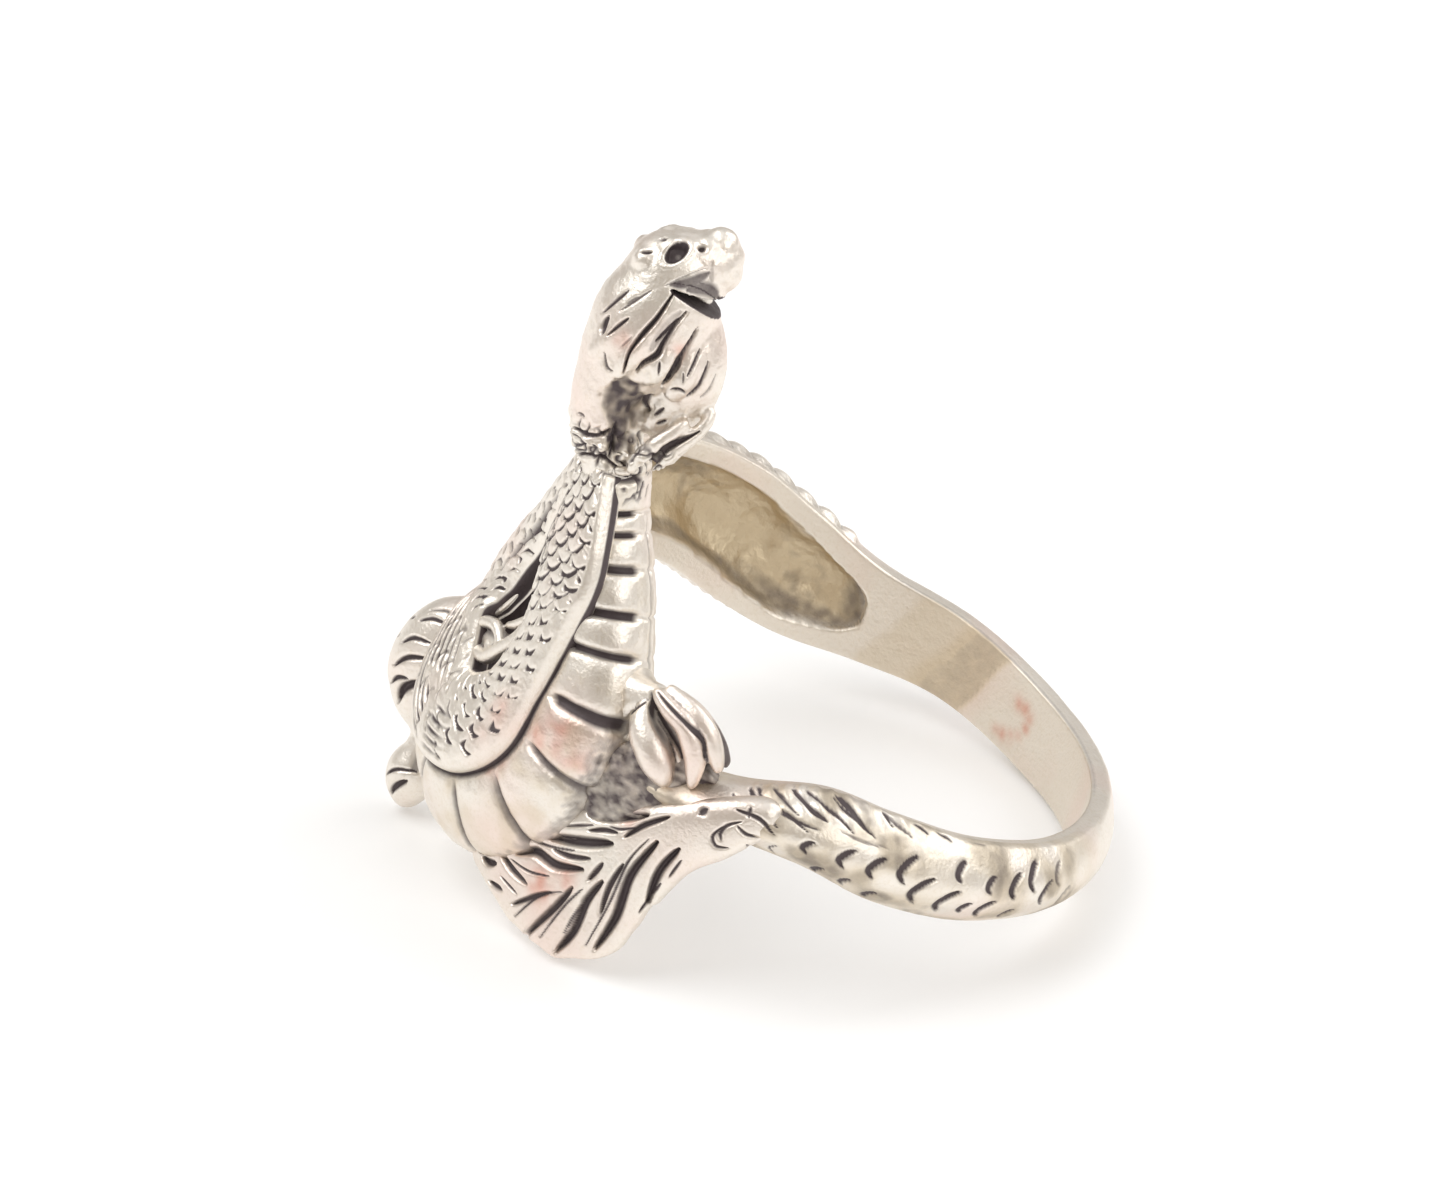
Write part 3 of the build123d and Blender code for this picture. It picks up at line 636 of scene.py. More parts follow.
def melt(parts, voxel, smooth):
    # the parts as one skin, with its points and normals
    alone(*parts)
    if len(parts) > 1:
        bpy.ops.object.join()
    piece = parts[0]
    applied(piece, "REMESH", mode="VOXEL", voxel_size=voxel)
    applied(piece, "SMOOTH", factor=0.5, iterations=smooth)
    points, normals = np.empty((2, len(piece.data.vertices) * 3))
    piece.data.vertices.foreach_get("co", points)
    piece.data.vertex_normals.foreach_get("vector", normals)
    return piece, points.reshape(-1, 3), normals.reshape(-1, 3)


def hollows(piece, points, normals, spread, depth, start, darkest):
    # darkening where points lie below their neighbours, spread over a few of them: tarnish in the hollows and
    # painted shade
    count = len(points)
    edges = np.empty(len(piece.data.edges) * 2, int)
    piece.data.edges.foreach_get("vertices", edges)
    a, b = edges.reshape(-1, 2).T
    degree = np.maximum(np.bincount(a, minlength=count) + np.bincount(b, minlength=count), 1)

    def neighbours(values):
        return (np.bincount(a, values[b], count) + np.bincount(b, values[a], count)) / degree

    below = sum((neighbours(points[:, k]) - points[:, k]) * normals[:, k] for k in range(3))
    for _ in range(spread):
        below = 0.5 * below + 0.5 * neighbours(below)
    return np.clip(below / depth - start, 0, darkest)


# Head and neck, in their own mid plane: forward from the nape, side towards the
# near cheek, and height. Limb rows: forward, height, half length, half width.
head = {
    "foot": (-0.5, -10.2, 0.0), "heading": 30.0, "roughVoxel": 0.07, "voxel": 0.045, "smooth": 4,
    "neck": [
        (0.05, 7.2, 0.8, 0.9), (-0.2, 8.3, 0.85, 0.95), (-0.45, 8.9, 1.05, 1.1), (-0.75, 9.7, 1.1, 1.1),
        (-0.9, 10.6, 1.15, 1.2), (-0.72, 11.5, 1.5, 1.45), (-0.42, 12.5, 1.8, 1.7), (-0.2, 13.4, 1.85, 1.7),
        (-0.08, 14.3, 1.62, 1.5), (-0.02, 15.1, 1.45, 1.25), (0.02, 15.6, 1.05, 0.95),
        (0.05, 15.9, 0.5, 0.5)],
    "beard": [
        (0.95, 13.9, 0.45, 0.6), (1.05, 13.2, 0.8, 1.05), (1.25, 12.3, 1.1, 1.25), (1.3, 11.5, 1.15, 1.15),
        (1.1, 10.8, 1, 0.9), (0.75, 10.2, 0.85, 0.8), (0.4, 9.6, 0.6, 0.6)],
    "snout": [
        (-0.6, 15.3, 0.6, 1.05), (0.3, 15.42, 0.66, 0.98), (0.9, 15.24, 0.82, 0.9),
        (1.35, 15.08, 0.68, 0.72), (1.62, 15.02, 0.46, 0.45)],
    "jaw": [
        (-0.4, 13.95, 0.55, 1.1), (0.5, 13.72, 0.5, 0.98), (1.15, 13.6, 0.42, 0.76), (1.6, 13.55, 0.2, 0.4)],
    "mouth": [(-0.5, 14.62), (2.6, 14.3), (2.6, 13.45)],
    # forward, side, height, radius; the side is mirrored
    "bumps": [
        (0.93, 0, 15.86, 0.57), (1.12, 0, 15.5, 0.64), (1.16, 0, 15.12, 0.66), (0.55, 0.3, 15.65, 0.5),
        (-0.55, 0.5, 15.42, 0.46), (-1.1, 0.6, 14.95, 0.42)],
    "tongue": [(-0.6, 14.35, 0.5, 0.4), (0.5, 14.25, 0.5, 0.3), (1.25, 14.1, 0.45, 0.14)],
    "teeth": [(0.45, 0.84, 14.66, 0.1), (1.02, 0.68, 14.66, 0.11)], "toothLength": 1.8,
    # top forward, top height, tip forward, tip height, side in the middle, radius
    "locks": [
        (-1, 14, -1.85, 11.6, 1, 0.42), (-0.5, 13.9, -1, 11.3, 1.4, 0.42),
        (0.3, 13.4, -0.1, 11.4, 1.42, 0.4), (1, 13.1, 0.75, 11.1, 1.2, 0.4), (1.6, 12.9, 1.8, 11, 0.65, 0.4)],
    # height, half height and swelling of the neck's collar ridges
    "collar": [(9.05, 0.3, 0.14), (9.75, 0.26, 0.1)],
    # two loose strands on the near side: forward, side, height, radius
    "chinHair": [
        (2.15, 0.7, 11.2, 0.18), (2.05, 0.95, 10.6, 0.22), (1.4, 1.12, 9.6, 0.25), (0.95, 1.05, 8.8, 0.2)],
    "nearLock": [(1.6, 1, 10.7, 0.2), (1, 1.2, 9.95, 0.27), (0.5, 1.2, 9.2, 0.28), (0.25, 1.15, 8.6, 0.16)],
    "eye": {"forward": -0.35, "height": 15.68, "long": 0.5, "half": 0.27, "lean": 60, "depth": 0.3},
    "nostril": {"forward": 0.34, "height": 16.05, "size": 0.11, "depth": 0.2},
    # lines in forward and height as the near cheek shows them; what lies further in than
    # the cheek looks higher by seenRise for each mm
    "strokes": [
        (0.075, 0.24, -0.1, 14.4, -0.35, 13.5, -0.6, 12.9, -0.86, 12.2, -0.78, 11.5),
        (0.075, 0.22, 0.45, 13.95, 0.22, 13.4, 0.07, 12.8, -0.02, 12.4, -0.3, 12, -0.42, 11.7),
        (0.07, 0.16, 0.3, 13.7, 0.05, 13.2, -0.18, 12.75),
        (0.2, 0.04, 0.25, 13.9, -0.02, 13.2, -0.25, 12.5),
        (0.065, 0.2, 0.92, 13.6, 0.84, 13.1, 0.7, 12.5, 0.58, 12, 0.45, 11.55),
        (0.05, 0.1, 1.2, 13, 1.15, 12.5, 1.05, 12), (0.05, 0.08, 1.55, 12.7, 1.5, 11.9, 1.25, 11.4),
        (0.05, 0.09, -1.38, 14.1, -1.62, 13.7, -1.9, 13.2),
        (0.045, 0.07, -0.75, 14.3, -1.1, 13.85, -1.45, 13.4), (0.045, 0.06, -1.05, 14, -1.3, 13.7),
        (0.075, 0.16, -1.72, 13.15, -1.76, 12.9, -1.74, 12.55),
        (0.055, 0.13, -1.15, 13.25, -1.35, 12.95, -1.58, 12.55),
        (0.04, 0.07, -1.5, 12, -1.3, 11.6, -1.1, 11.5), (0.07, 0.14, -1.35, 15.4, -1.05, 15.5),
        (0.06, 0.12, -0.95, 15.95, -0.75, 16.05), (0.08, 0.04, 0.72, 15.75, 0.86, 15.3, 0.95, 14.98),
        (0.2, 0.068, -0.25, 14.62, 0.3, 14.88, 0.75, 15.35),
        (0.26, 0.068, 0.3, 14.62, 0.85, 14.85, 1.25, 14.75),
        (0.035, 0.09, -0.2, 14.7, 0.6, 14.78, 1.3, 14.62), (0.03, 0.07, 0.1, 14.85, 0.7, 14.98, 1.25, 14.9),
        (0.035, 0.05, -0.45, 14.5, -0.02, 14.93, 0.64, 15.5), (0.04, 0.07, 0.9, 12.1, 1, 11.75),
        (0.05, 0.1, 0.1, 12.2, 0.2, 11.8), (0.045, 0.09, 0.7, 11.5, 0.95, 11.55, 1.2, 11.5),
        (0.09, 0.2, 1.95, 10.5, 1.25, 9.75, 0.9, 9.1, 0.68, 8.5),
        (0.07, 0.16, -1.75, 9.55, -1.3, 9.4, -0.9, 9.45, -0.55, 9.7),
        (0.09, 0.18, -0.42, 10, -0.38, 9.4, -0.35, 8.9),
        (0.07, 0.16, -1.5, 8.7, -1, 8.75, -0.4, 8.75, 0.2, 8.6),
        (0.05, 0.1, -1.55, 9.15, -1.35, 9, -1.15, 9.1), (0.05, 0.1, -0.95, 9.15, -0.75, 9),
        (0.05, 0.07, -1.65, 10, -1.45, 9.9), (0.07, 0.12, 0.35, 11.2, 0.2, 10.9, 0.35, 10.7),
        (0.06, 0.1, 0.75, 10.9, 0.55, 10.6), (0.05, 0.09, 0.95, 10.55, 0.7, 10.35),
        (0.04, 0.05, 1.9, 12.4, 1.85, 11.9, 1.65, 11.5), (0.04, 0.05, -0.9, 12.7, -1.1, 12.3)],
    "seenRise": 0.417, "cheek": 1.2,
    # dark granular hollows: forward, height and half sizes
    "recesses": [(-0.35, 10.6, 0.85, 1.0), (-0.3, 9.5, 0.5, 0.95)],
    "recessEdge": [(0.3, 0.4, 35), (0.15, 0.18, 36)],
    "hollows": (3, 0.006, 0.35, 0.85), "collars": (8.2, 8.5, 9.4, 9.9),
    "collarLumps": [(0.08, 0.3, 33), (0.04, 0.15, 32)], "seams": (0.2, [(1, 0.42, 39), (0.4, 0.2, 30)]),
    "skinLumps": [(0.014, 0.5, 34), (0.01, 0.18, 38)],
    "stains": [(0.2, -11.7, 12.6, 0.4), (0.9, -10.4, 12.9, 0.3)],
}
heading = math.radians(head["heading"])
headAhead = (math.sin(heading), math.cos(heading), 0)


def headSpot(forward, side, height):
    return (head["foot"][0] + headAhead[0] * forward + headAhead[1] * side,
            head["foot"][1] + headAhead[1] * forward - headAhead[0] * side,
            head["foot"][2] + height)


def headLimb(rows, outwards=headAhead):
    # standing limbs are long forwards, lying ones long upwards
    table = [(*headSpot(forward, 0, height), long, half) for forward, height, long, half in rows]
    return limbMesh(table, outwards, endRound=0.35)


def headLock(lock, side):
    topF, topZ, tipF, tipZ, spread, radius = lock
    middleF, middleZ = (topF + tipF) / 2 + 0.1, (topZ + tipZ) / 2 - 0.1
    return pointed([(*headSpot(topF, side * 0.75 * spread, topZ), 0.6 * radius),
                    (*headSpot(middleF, side * spread, middleZ), radius),
                    (*headSpot(tipF, side * 0.85 * spread, tipZ), 0.6 * radius)])


def collarRidge(height, half, swell):
    neck = min(head["neck"], key=lambda row: abs(row[1] - height))
    forward = neck[0] - 0.4 * (height - neck[1])
    profile = [(-half, -0.1), (-0.5 * half, swell), (0.5 * half, swell), (half, -0.1)]
    return headLimb([(forward, height + rise, neck[2] + more, neck[3] + more) for rise, more in profile])


def openMouth(piece):
    # a wedge through both cheeks, taken out of the head
    bpy.ops.object.select_all(action="DESELECT")
    bpy.ops.mesh.primitive_cylinder_add(vertices=3, radius=1, depth=4)
    wedge = bpy.context.active_object
    for vertex in wedge.data.vertices:
        angle = math.degrees(math.atan2(vertex.co.y, vertex.co.x)) % 360
        forward, height = head["mouth"][int(round((angle - 90) / 120)) % 3]
        vertex.co = headSpot(forward, 2.0 if vertex.co.z > 0 else -2.0, height)
    mend(wedge, limbGap)
    applied(piece, "BOOLEAN", operation="DIFFERENCE", object=wedge, solver="EXACT")
    bpy.data.objects.remove(wedge)


def makeHead():
    upwards = (0, 0, 1)
    parts = [headLimb(head["neck"]), headLimb(head["beard"]), headLimb(head["snout"], upwards),
             headLimb(head["jaw"], upwards)]
    for forward, side, height, radius in head["bumps"]:
        for way in ((1, -1) if side else (1,)):
            parts.append(blob(headSpot(forward, way * side, height), (radius, radius, radius)))
    for lock in head["locks"]:
        parts += [headLock(lock, 1), headLock(lock, -1)]
    parts += [collarRidge(*ridge) for ridge in head["collar"]]
    for strand in (head["chinHair"], head["nearLock"]):
        parts.append(pointed([(*headSpot(*row[:3]), row[3]) for row in strand]))
    piece = melt(parts, head["roughVoxel"], 2)[0]
    openMouth(piece)
    parts = [piece, headLimb(head["tongue"], upwards)]
    for forward, side, height, radius in head["teeth"]:
        for way in (1, -1):
            radii = (radius, radius, head["toothLength"] * radius)
            parts.append(blob(headSpot(forward, way * side, height), radii))
    piece, points, normals = melt(parts, head["voxel"], head["smooth"])
    skin = Skin(points)
    local = points - np.array(head["foot"])
    forward = local[:, 0] * headAhead[0] + local[:, 1] * headAhead[1]
    side = local[:, 0] * headAhead[1] - local[:, 1] * headAhead[0]
    # height as it looks from the near side, where the lines were placed
    height = local[:, 2] + head["seenRise"] * (head["cheek"] - np.abs(side))
    depth, cut = cutStrokes(forward, height, head["strokes"])
    facing = fade(np.abs(side), 0.3, 0.6)
    skin.rise -= depth * facing
    skin.darken(0.88 * cut * facing)
    # eye: a dark socket with a raised rim, and a small painted reflection in it
    eye, nostril = head["eye"], head["nostril"]
    lean = math.radians(eye["lean"])
    x, y = forward - eye["forward"], height - eye["height"]
    alongEye, acrossEye = x * math.cos(lean) + y * math.sin(lean), -x * math.sin(lean) + y * math.cos(lean)
    radius = np.sqrt((alongEye / eye["long"]) ** 2 + (acrossEye / eye["half"]) ** 2)
    paintedGlint = 0.3 * dent(np.hypot(x - 0.08, y + 0.05), 0.17)
    skin.rise -= eye["depth"] * (1 - fade(radius, 0.62, 1.0)) * facing
    skin.rise += 0.035 * dent(radius - 1.25, 0.22) * facing
    skin.darken((0.97 - paintedGlint) * (1 - fade(radius, 0.85, 1.02)) * facing)
    fromNostril = np.hypot(forward - nostril["forward"], height - nostril["height"])
    skin.groove(dent(fromNostril, nostril["size"]) * facing, nostril["depth"], 1.3)
    # dark rough hollow under the beard
    reach = np.full(len(points), 9.0)
    for middleF, middleH, long, high in head["recesses"]:
        away = np.sqrt(((forward - middleF) / long) ** 2 + ((height - middleH) / high) ** 2)
        reach = np.minimum(reach, away)
    reach = reach + layered(points, head["recessEdge"])
    under = (1 - fade(reach, 0.6, 1.1)) * fade(np.abs(side), 0.4, 0.7)
    skin.rise += under * (0.08 * lumps(points, 0.22, 31) - 0.1)
    skin.darken(under * (0.7 + 0.25 * lumps(points, 0.2, 37)))
    skin.roughen(0.6 * under)
    # the dark inside of the mouth, between the wedge's two faces
    (hingeF, hingeH), (lipF, roofH), (_, floorH) = head["mouth"]
    upper, lower = [hingeH + (tip - hingeH) * (forward - hingeF) / (lipF - hingeF) for tip in (roofH, floorH)]
    sideways = np.abs(normals[:, 0] * headAhead[1] - normals[:, 1] * headAhead[0])
    inside = (local[:, 2] < upper + 0.09) * (local[:, 2] > lower - 0.05) * (1 - fade(sideways, 0.5, 0.8))
    skin.darken(0.97 * inside * fade(forward, hingeF - 0.1, hingeF + 0.1))
    # tarnish and painted shade in the hollows
    skin.darken(hollows(piece, points, normals, *head["hollows"]))
    # lumpy collar ridges with dark seams
    collars = within(local[:, 2], *head["collars"])
    skin.rise += collars * layered(points, head["collarLumps"])
    skin.groove(collars * seams(points, *head["seams"]), 0.1, 0.85)
    skin.rise += layered(points, head["skinLumps"])
    return dress(piece, "head", points, normals, skin, head["stains"])


# Near foot: leg and toes. Rows: angle, distance from the finger axis, height, radius.
foot = {
    "leg": [(12, 9.4, 2.4, 0.8), (18, 9.8, 2.5, 0.7), (22, 10, 2.8, 0.42), (25, 10.1, 3.1, 0.26)],
    "toes": [
        [(22.7, 10.3, 2.75, 0.2), (24, 10.5, 2.05, 0.46), (27, 10.55, 1.5, 0.56), (29.6, 10.5, 1, 0.46),
         (31.6, 10.35, 0.55, 0.16)],
        [(23.3, 10.3, 3.15, 0.18), (27.3, 10.45, 2.88, 0.3), (31.3, 10.45, 2.6, 0.36),
         (33.9, 10.35, 1.95, 0.36), (34.9, 10.3, 1.3, 0.27), (35.2, 10.25, 0.75, 0.12)],
        [(24.5, 10.1, 3.3, 0.18), (30, 10.15, 3.12, 0.25), (34, 10.15, 2.75, 0.3), (36.7, 10.1, 2.2, 0.29),
         (38.6, 10, 1.5, 0.16)],
        [(25, 9.7, 3.1, 0.2), (31, 9.65, 2.8, 0.28), (36, 9.6, 2.2, 0.28), (39, 9.55, 1.6, 0.16)],
        [(17.3, 10.1, 1.6, 0.22), (19.3, 10.2, 2.2, 0.3), (22.3, 10.2, 2.85, 0.22)]],
    "heel": [(22, 9.9, 2.2, 0.6), (29, 9.7, 1.6, 0.55), (36, 9.5, 1.1, 0.45)],
    # lines between the toes in angle and height
    "strokes": [
        (0.09, 0.12, 22.8, 3, 25.3, 2.5, 28.7, 2.08, 31.2, 1.7, 32.6, 1.2),
        (0.06, 0.1, 24.5, 3.2, 28.5, 3.02, 32.3, 2.78, 34.9, 2.45, 36.2, 1.9),
        (0.06, 0.08, 20.3, 1.9, 21.8, 2.35, 23, 2.75)],
    "step": 0.1, "voxel": 0.06, "smooth": 3, "hollows": (4, 0.004, 0.3, 0.95), "degree": 0.185,
}


def roundFinger(rows):
    # rows that begin with angle, distance and height, with x y z in their place
    return [(radius * math.sin(math.radians(angle)), -radius * math.cos(math.radians(angle)), height, *sizes)
            for angle, radius, height, *sizes in rows]


def makeFoot():
    parts = [pointed(roundFinger(rows), foot["step"]) for rows in [foot["leg"], foot["heel"]] + foot["toes"]]
    piece, points, normals = melt(parts, foot["voxel"], foot["smooth"])
    skin = Skin(points)
    # tarnish and painted shade in the hollows
    skin.darken(hollows(piece, points, normals, *foot["hollows"]))
    reach = np.hypot(points[:, 0], points[:, 1])
    facing = np.clip(-(normals[:, 0] * points[:, 0] + normals[:, 1] * points[:, 1]) / 10, 0, 1)
    # painted shade behind the toes, near the finger
    behind = (1 - fade(reach, 9.95, 10.2)) * (1 - fade(points[:, 2], 2.6, 3.2))
    skin.darken(0.75 * behind * (1 - facing))
    angle, outer = np.degrees(np.arctan2(points[:, 0], -points[:, 1])), fade(reach, 9.9, 10.2)
    depth, cut = cutStrokes(angle, points[:, 2], foot["strokes"], foot["degree"])
    skin.darken(cut * outer)
    skin.rise += 0.012 * lumps(points, 0.4, 41) - depth * outer
    return dress(piece, "nearFoot", points, normals, skin)


# Far leg: thigh, shin and foot. Rows: x y z radius. Strokes in x and height, as the
# face shows them.
farLeg = {
    "leg": [
        (-4.7, -10.1, 0.8, 0.75), (-5.7, -10.5, -0.2, 1.15), (-6.1, -10.6, -1.5, 1.3),
        (-5.9, -10.5, -2.6, 1.05), (-5.6, -10.3, -3.5, 0.55), (-5.5, -10.3, -4.1, 0.55),
        (-5.6, -10.3, -4.9, 0.82), (-5.75, -10.2, -5.7, 0.7), (-5.85, -10.1, -6.4, 0.22)],
    "strokes": [
        (0.06, 0.12, -5.91, 0.07, -5.52, 0.36, -5.02, 0.45),
        (0.07, 0.14, -6.15, -0.85, -5.74, -0.46, -5.1, -0.32),
        (0.08, 0.17, -6.13, -1.66, -5.64, -1.11, -4.94, -0.8), (0.06, 0.1, -7.07, -1.91, -6.78, -1.7),
        (0.07, 0.15, -6.2, -2.3, -5.86, -1.94, -5.45, -1.75),
        (0.13, 0.26, -5.85, -2.8, -5.51, -2.1, -4.72, -1.5),
        (0.1, 0.2, -5.2, -3.3, -4.8, -2.8, -4.47, -2.43), (0.05, 0.1, -6.89, -1.01, -6.56, -0.75),
        (0.04, 0.06, -5.9, 0.45, -5.3, 0.75, -4.7, 0.75), (0.045, 0.08, -6.6, -0.2, -6.3, 0),
        (0.06, 0.1, -6.75, -2.7, -6.4, -2.4), (0.06, 0.12, -5.95, -5.4, -5.4, -4.9, -4.9, -4.7),
        (0.09, 0.18, -5.7, -5.95, -5.3, -5.45, -5, -5.1), (0.18, 0.05, -5.1, -3.7, -4.95, -4.2, -4.95, -4.7)],
    "step": 0.1, "voxel": 0.06, "smooth": 3,
}


def makeFarLeg():
    piece, points, normals = melt([pointed(farLeg["leg"], farLeg["step"])], farLeg["voxel"], farLeg["smooth"])
    skin, front = Skin(points), fade(-normals[:, 1], -0.2, 0.2)
    depth, cut = cutStrokes(points[:, 0], points[:, 2], farLeg["strokes"])
    skin.darken(cut * front)
    skin.rise += 0.015 * lumps(points, 0.5, 51) - depth * front
    return dress(piece, "farLeg", points, normals, skin)


# Tail tuft: a leaf wrapped round the finger. Rows: angle, distance, height, half
# width, half depth. Strokes in angle and height.
tuft = {
    "rows": [
        (52, 9.9, 0.9, 0.6, 0.5), (47, 10.1, 0.65, 0.7, 0.52), (42, 10.3, 0.05, 0.95, 0.52),
        (34.8, 10.35, -0.98, 1.18, 0.52), (28, 10.4, -2.3, 1.82, 0.5), (21, 10.4, -3.65, 2.4, 0.48),
        (14, 10.45, -4.4, 1.85, 0.42), (8, 10.5, -4.75, 1.2, 0.34), (2, 10.5, -4.95, 0.65, 0.26),
        (-5, 10.5, -5.05, 0.3, 0.18)],
    "step": 0.045, "square": 2.6, "degree": 0.188, "teethPerMm": 0.62, "teethDepth": 0.16,
    "strokes": [
        (0.16, 0.3, 33.7, -1, 31.2, -2.4, 31, -3.9, 29.2, -5.2),
        (0.14, 0.28, 37.5, -0.9, 35.6, -1.9, 35.4, -3.1), (0.1, 0.2, 29.5, -2.15, 28.4, -3.1, 28.4, -4),
        (0.15, 0.3, 27, -3, 25.2, -3.9, 24.6, -5, 22.4, -6), (0.12, 0.26, 22.1, -3.7, 19.8, -4.7, 15, -6.3),
        (0.09, 0.17, 18.4, -4.25, 15, -4.8, 11.6, -5.4), (0.09, 0.18, 26.1, -2.45, 24.5, -3.2),
        (0.15, 0.28, 22.9, -3, 17.6, -3.4, 12.5, -3.45, 8.8, -3.9),
        (0.09, 0.17, 23.6, -2.55, 20, -2.85, 16.3, -3), (0.11, 0.2, 13.3, -4.5, 9, -4.45, 4.9, -4.3),
        (0.17, 0.3, 26.4, -1.75, 21, -2.25, 14.3, -2.75), (0.08, 0.15, 26.7, -1.35, 24.2, -1.5, 21.4, -1.8),
        (0.17, 0.3, 30.3, -0.4, 24.4, -1, 20.4, -1.35), (0.1, 0.2, 34.1, -0.1, 30.6, -0.7, 28.1, -1.35),
        (0.12, 0.2, 4.8, -4.7, 2.5, -4.9, 0.3, -4.95), (0.13, 0.2, 28.3, 0.05, 25, -0.3, 21.5, -0.85),
        (0.09, 0.15, 8.3, -5.25, 4.2, -5.4), (0.06, 0.1, 36.5, -2.2, 34.5, -3.4),
        (0.05, 0.08, 32.3, -1, 30.2, -2, 29.3, -3.6, 27.6, -5.2),
        (0.05, 0.08, 26, -3.4, 24.4, -4.2, 23.2, -5.2), (0.05, 0.08, 24.2, -3.5, 22, -4.3, 19, -5.8),
        (0.05, 0.08, 20.5, -4, 16.5, -4.6, 12.8, -5.7), (0.05, 0.08, 17.5, -3.8, 13, -4.1, 8, -4.2),
        (0.05, 0.08, 20.5, -2.6, 15, -3, 10.5, -3.2), (0.05, 0.08, 22, -1.55, 17, -2.1),
        (0.05, 0.08, 29.5, -0.9, 27, -1.2, 25, -1.3), (0.05, 0.08, 12, -5, 7, -4.9),
        (0.05, 0.08, 38.5, -1.2, 37.4, -1.9), (0.07, 0.12, 3, -4.6, -1.5, -4.9),
        (0.07, 0.08, 45.5, 0.66, 43.6, 0.4, 43, 0.1, 43.6, -0.1), (0.07, 0.1, 44, 0.96, 48, 0.91, 51, 0.58),
        (0.06, 0.09, 45, 0.51, 47, 0.33, 49, 0.34), (0.06, 0.09, 43, 0.32, 42, -0.07, 43, -0.33, 45, -0.27),
        (0.05, 0.07, 47.5, 0, 48.5, -0.3), (0.13, 0.1, 39.5, 0.62, 38.7, 0.4),
        (0.07, 0.1, 46, 1.15, 46.4, 0.85)],
    # place and size of the notch in the lower edge, in angle and height
    "notch": (36.6, -3.5, 0.3, 0.4), "darkest": 0.84,
    "stains": [(3.1, -10.4, -4.2, 0.6), (3.8, -10.2, -3.5, 0.4), (5.0, -9.7, -0.6, 0.4)],
}


def acrossLeaf(spots):
    # across a leaf that lies round the finger
    return np.cross(spots * np.array([1, 1, 0]), unit(np.gradient(spots, axis=0)))


def makeTuft():
    made = limb(roundFinger(tuft["rows"]), acrossLeaf, tuft["step"], tuft["square"], 0.6)
    points, run = made["points"], made["run"]
    # wrap the leaf round the finger: what lies aside of its middle line comes in
    middle = points[:, :-1].mean(1, keepdims=True)
    turns = [np.arctan2(spots[..., 0], -spots[..., 1]) for spots in (points, middle)]
    points[..., :2] *= np.cos(turns[0] - turns[1])[..., None]
    angle = np.degrees(np.arctan2(points[..., 0], -points[..., 1]))
    # teeth along the lower edge, where the strands of hair end
    wave = 2 * math.pi * tuft["teethPerMm"] * run
    teeth = 0.5 + 0.5 * np.sin(wave + 0.6 * np.sin(wave))
    lowEdge = fade(middle[..., 2] - points[..., 2], 0.9, 1.6) * fade(run, 3, 6)
    points[..., 2] -= tuft["teethDepth"] * teeth * lowEdge
    turn, height, size, deep = tuft["notch"]
    points[..., 2] += deep * dent(np.hypot((angle - turn) * tuft["degree"], points[..., 2] - height), size)
    beyond = np.hypot(points[..., 0], points[..., 1]) - np.hypot(middle[..., 0], middle[..., 1])
    skin, outer = Skin(points), fade(beyond, -0.05, 0.2)
    depth, cut = cutStrokes(angle, points[..., 2], tuft["strokes"], tuft["degree"])
    skin.rise += 0.02 * lumps(points, 0.7, 61) - depth * outer
    skin.darken(tuft["darkest"] * cut * outer)
    return gridPiece("tailTuft", points, skin, tuft["stains"])


# Dark cast metal between the belly, the toes and the tuft. Rows as for the tuft.
web = {
    "rows": [
        (8, 10, -3.2, 0.9, 0.4), (15, 10.15, -2, 1.1, 0.5), (22, 10.2, -0.6, 1.35, 0.5),
        (29, 10, 0.6, 1.2, 0.5), (35, 9.6, 1.05, 0.6, 0.4), (38, 9.4, 1, 0.3, 0.3)],
    "step": 0.09, "rough": 0.2, "lumps": [(0.09, 0.35, 71), (0.05, 0.16, 72)],
    "shade": 0.62, "mottle": [(0.14, 0.4, 73), (0.2, 0.13, 74)], "streaks": 0.16,
}


def makeWeb():
    points = limb(roundFinger(web["rows"]), acrossLeaf, web["step"])["points"]
    skin = Skin(points)
    skin.rise += layered(points, web["lumps"])
    grown = keepOffFinger(points + outside(points) * skin.rise[..., None])
    streaks = lumps(grown * np.array([0.5, 0.5, 1.4]), 0.2, 75)
    skin.darken(web["shade"] + layered(grown, web["mottle"]) + web["streaks"] * streaks)
    skin.roughen(web["rough"])
    return gridPiece("castWeb", points, skin)


# Small curl lying in the lower end of the loop's hole: its ribbon, two thin ones above
# it and the bed under it. Rows: x y z radius.
curl = {
    "rows": [
        (-1.35, -10.9, 2.5, 0.12), (-1.45, -11, 1.9, 0.19), (-1.95, -11.1, 1.2, 0.23),
        (-2.6, -11.1, 0.6, 0.25), (-3.35, -11.05, 0.58, 0.24), (-3.65, -11, 0.98, 0.22),
        (-3.35, -11, 1.42, 0.2), (-2.7, -11, 1.6, 0.2), (-2.2, -11.05, 1.4, 0.18),
        (-2.15, -11.1, 1.05, 0.16), (-2.55, -11.1, 0.92, 0.14), (-2.85, -11.1, 1.05, 0.1)],
    "light": [(-2.5, -10.8, 1.75, 0.1), (-1.9, -10.85, 2.1, 0.15), (-1.45, -10.8, 2.6, 0.1)],
    "lip": [(-2.6, -10.65, 2.8, 0.06), (-3.0, -10.7, 2.15, 0.1), (-3.4, -10.75, 1.6, 0.08)],
    "bed": [(-1.75, -10.6, 1.5, 0.3), (-2.55, -10.7, 0.98, 0.45), (-3.3, -10.62, 1.0, 0.4)],
    "step": 0.08, "voxel": 0.045, "smooth": 2, "hollows": (3, 0.004, 0.2, 0.75), "bedShade": 0.6,
}


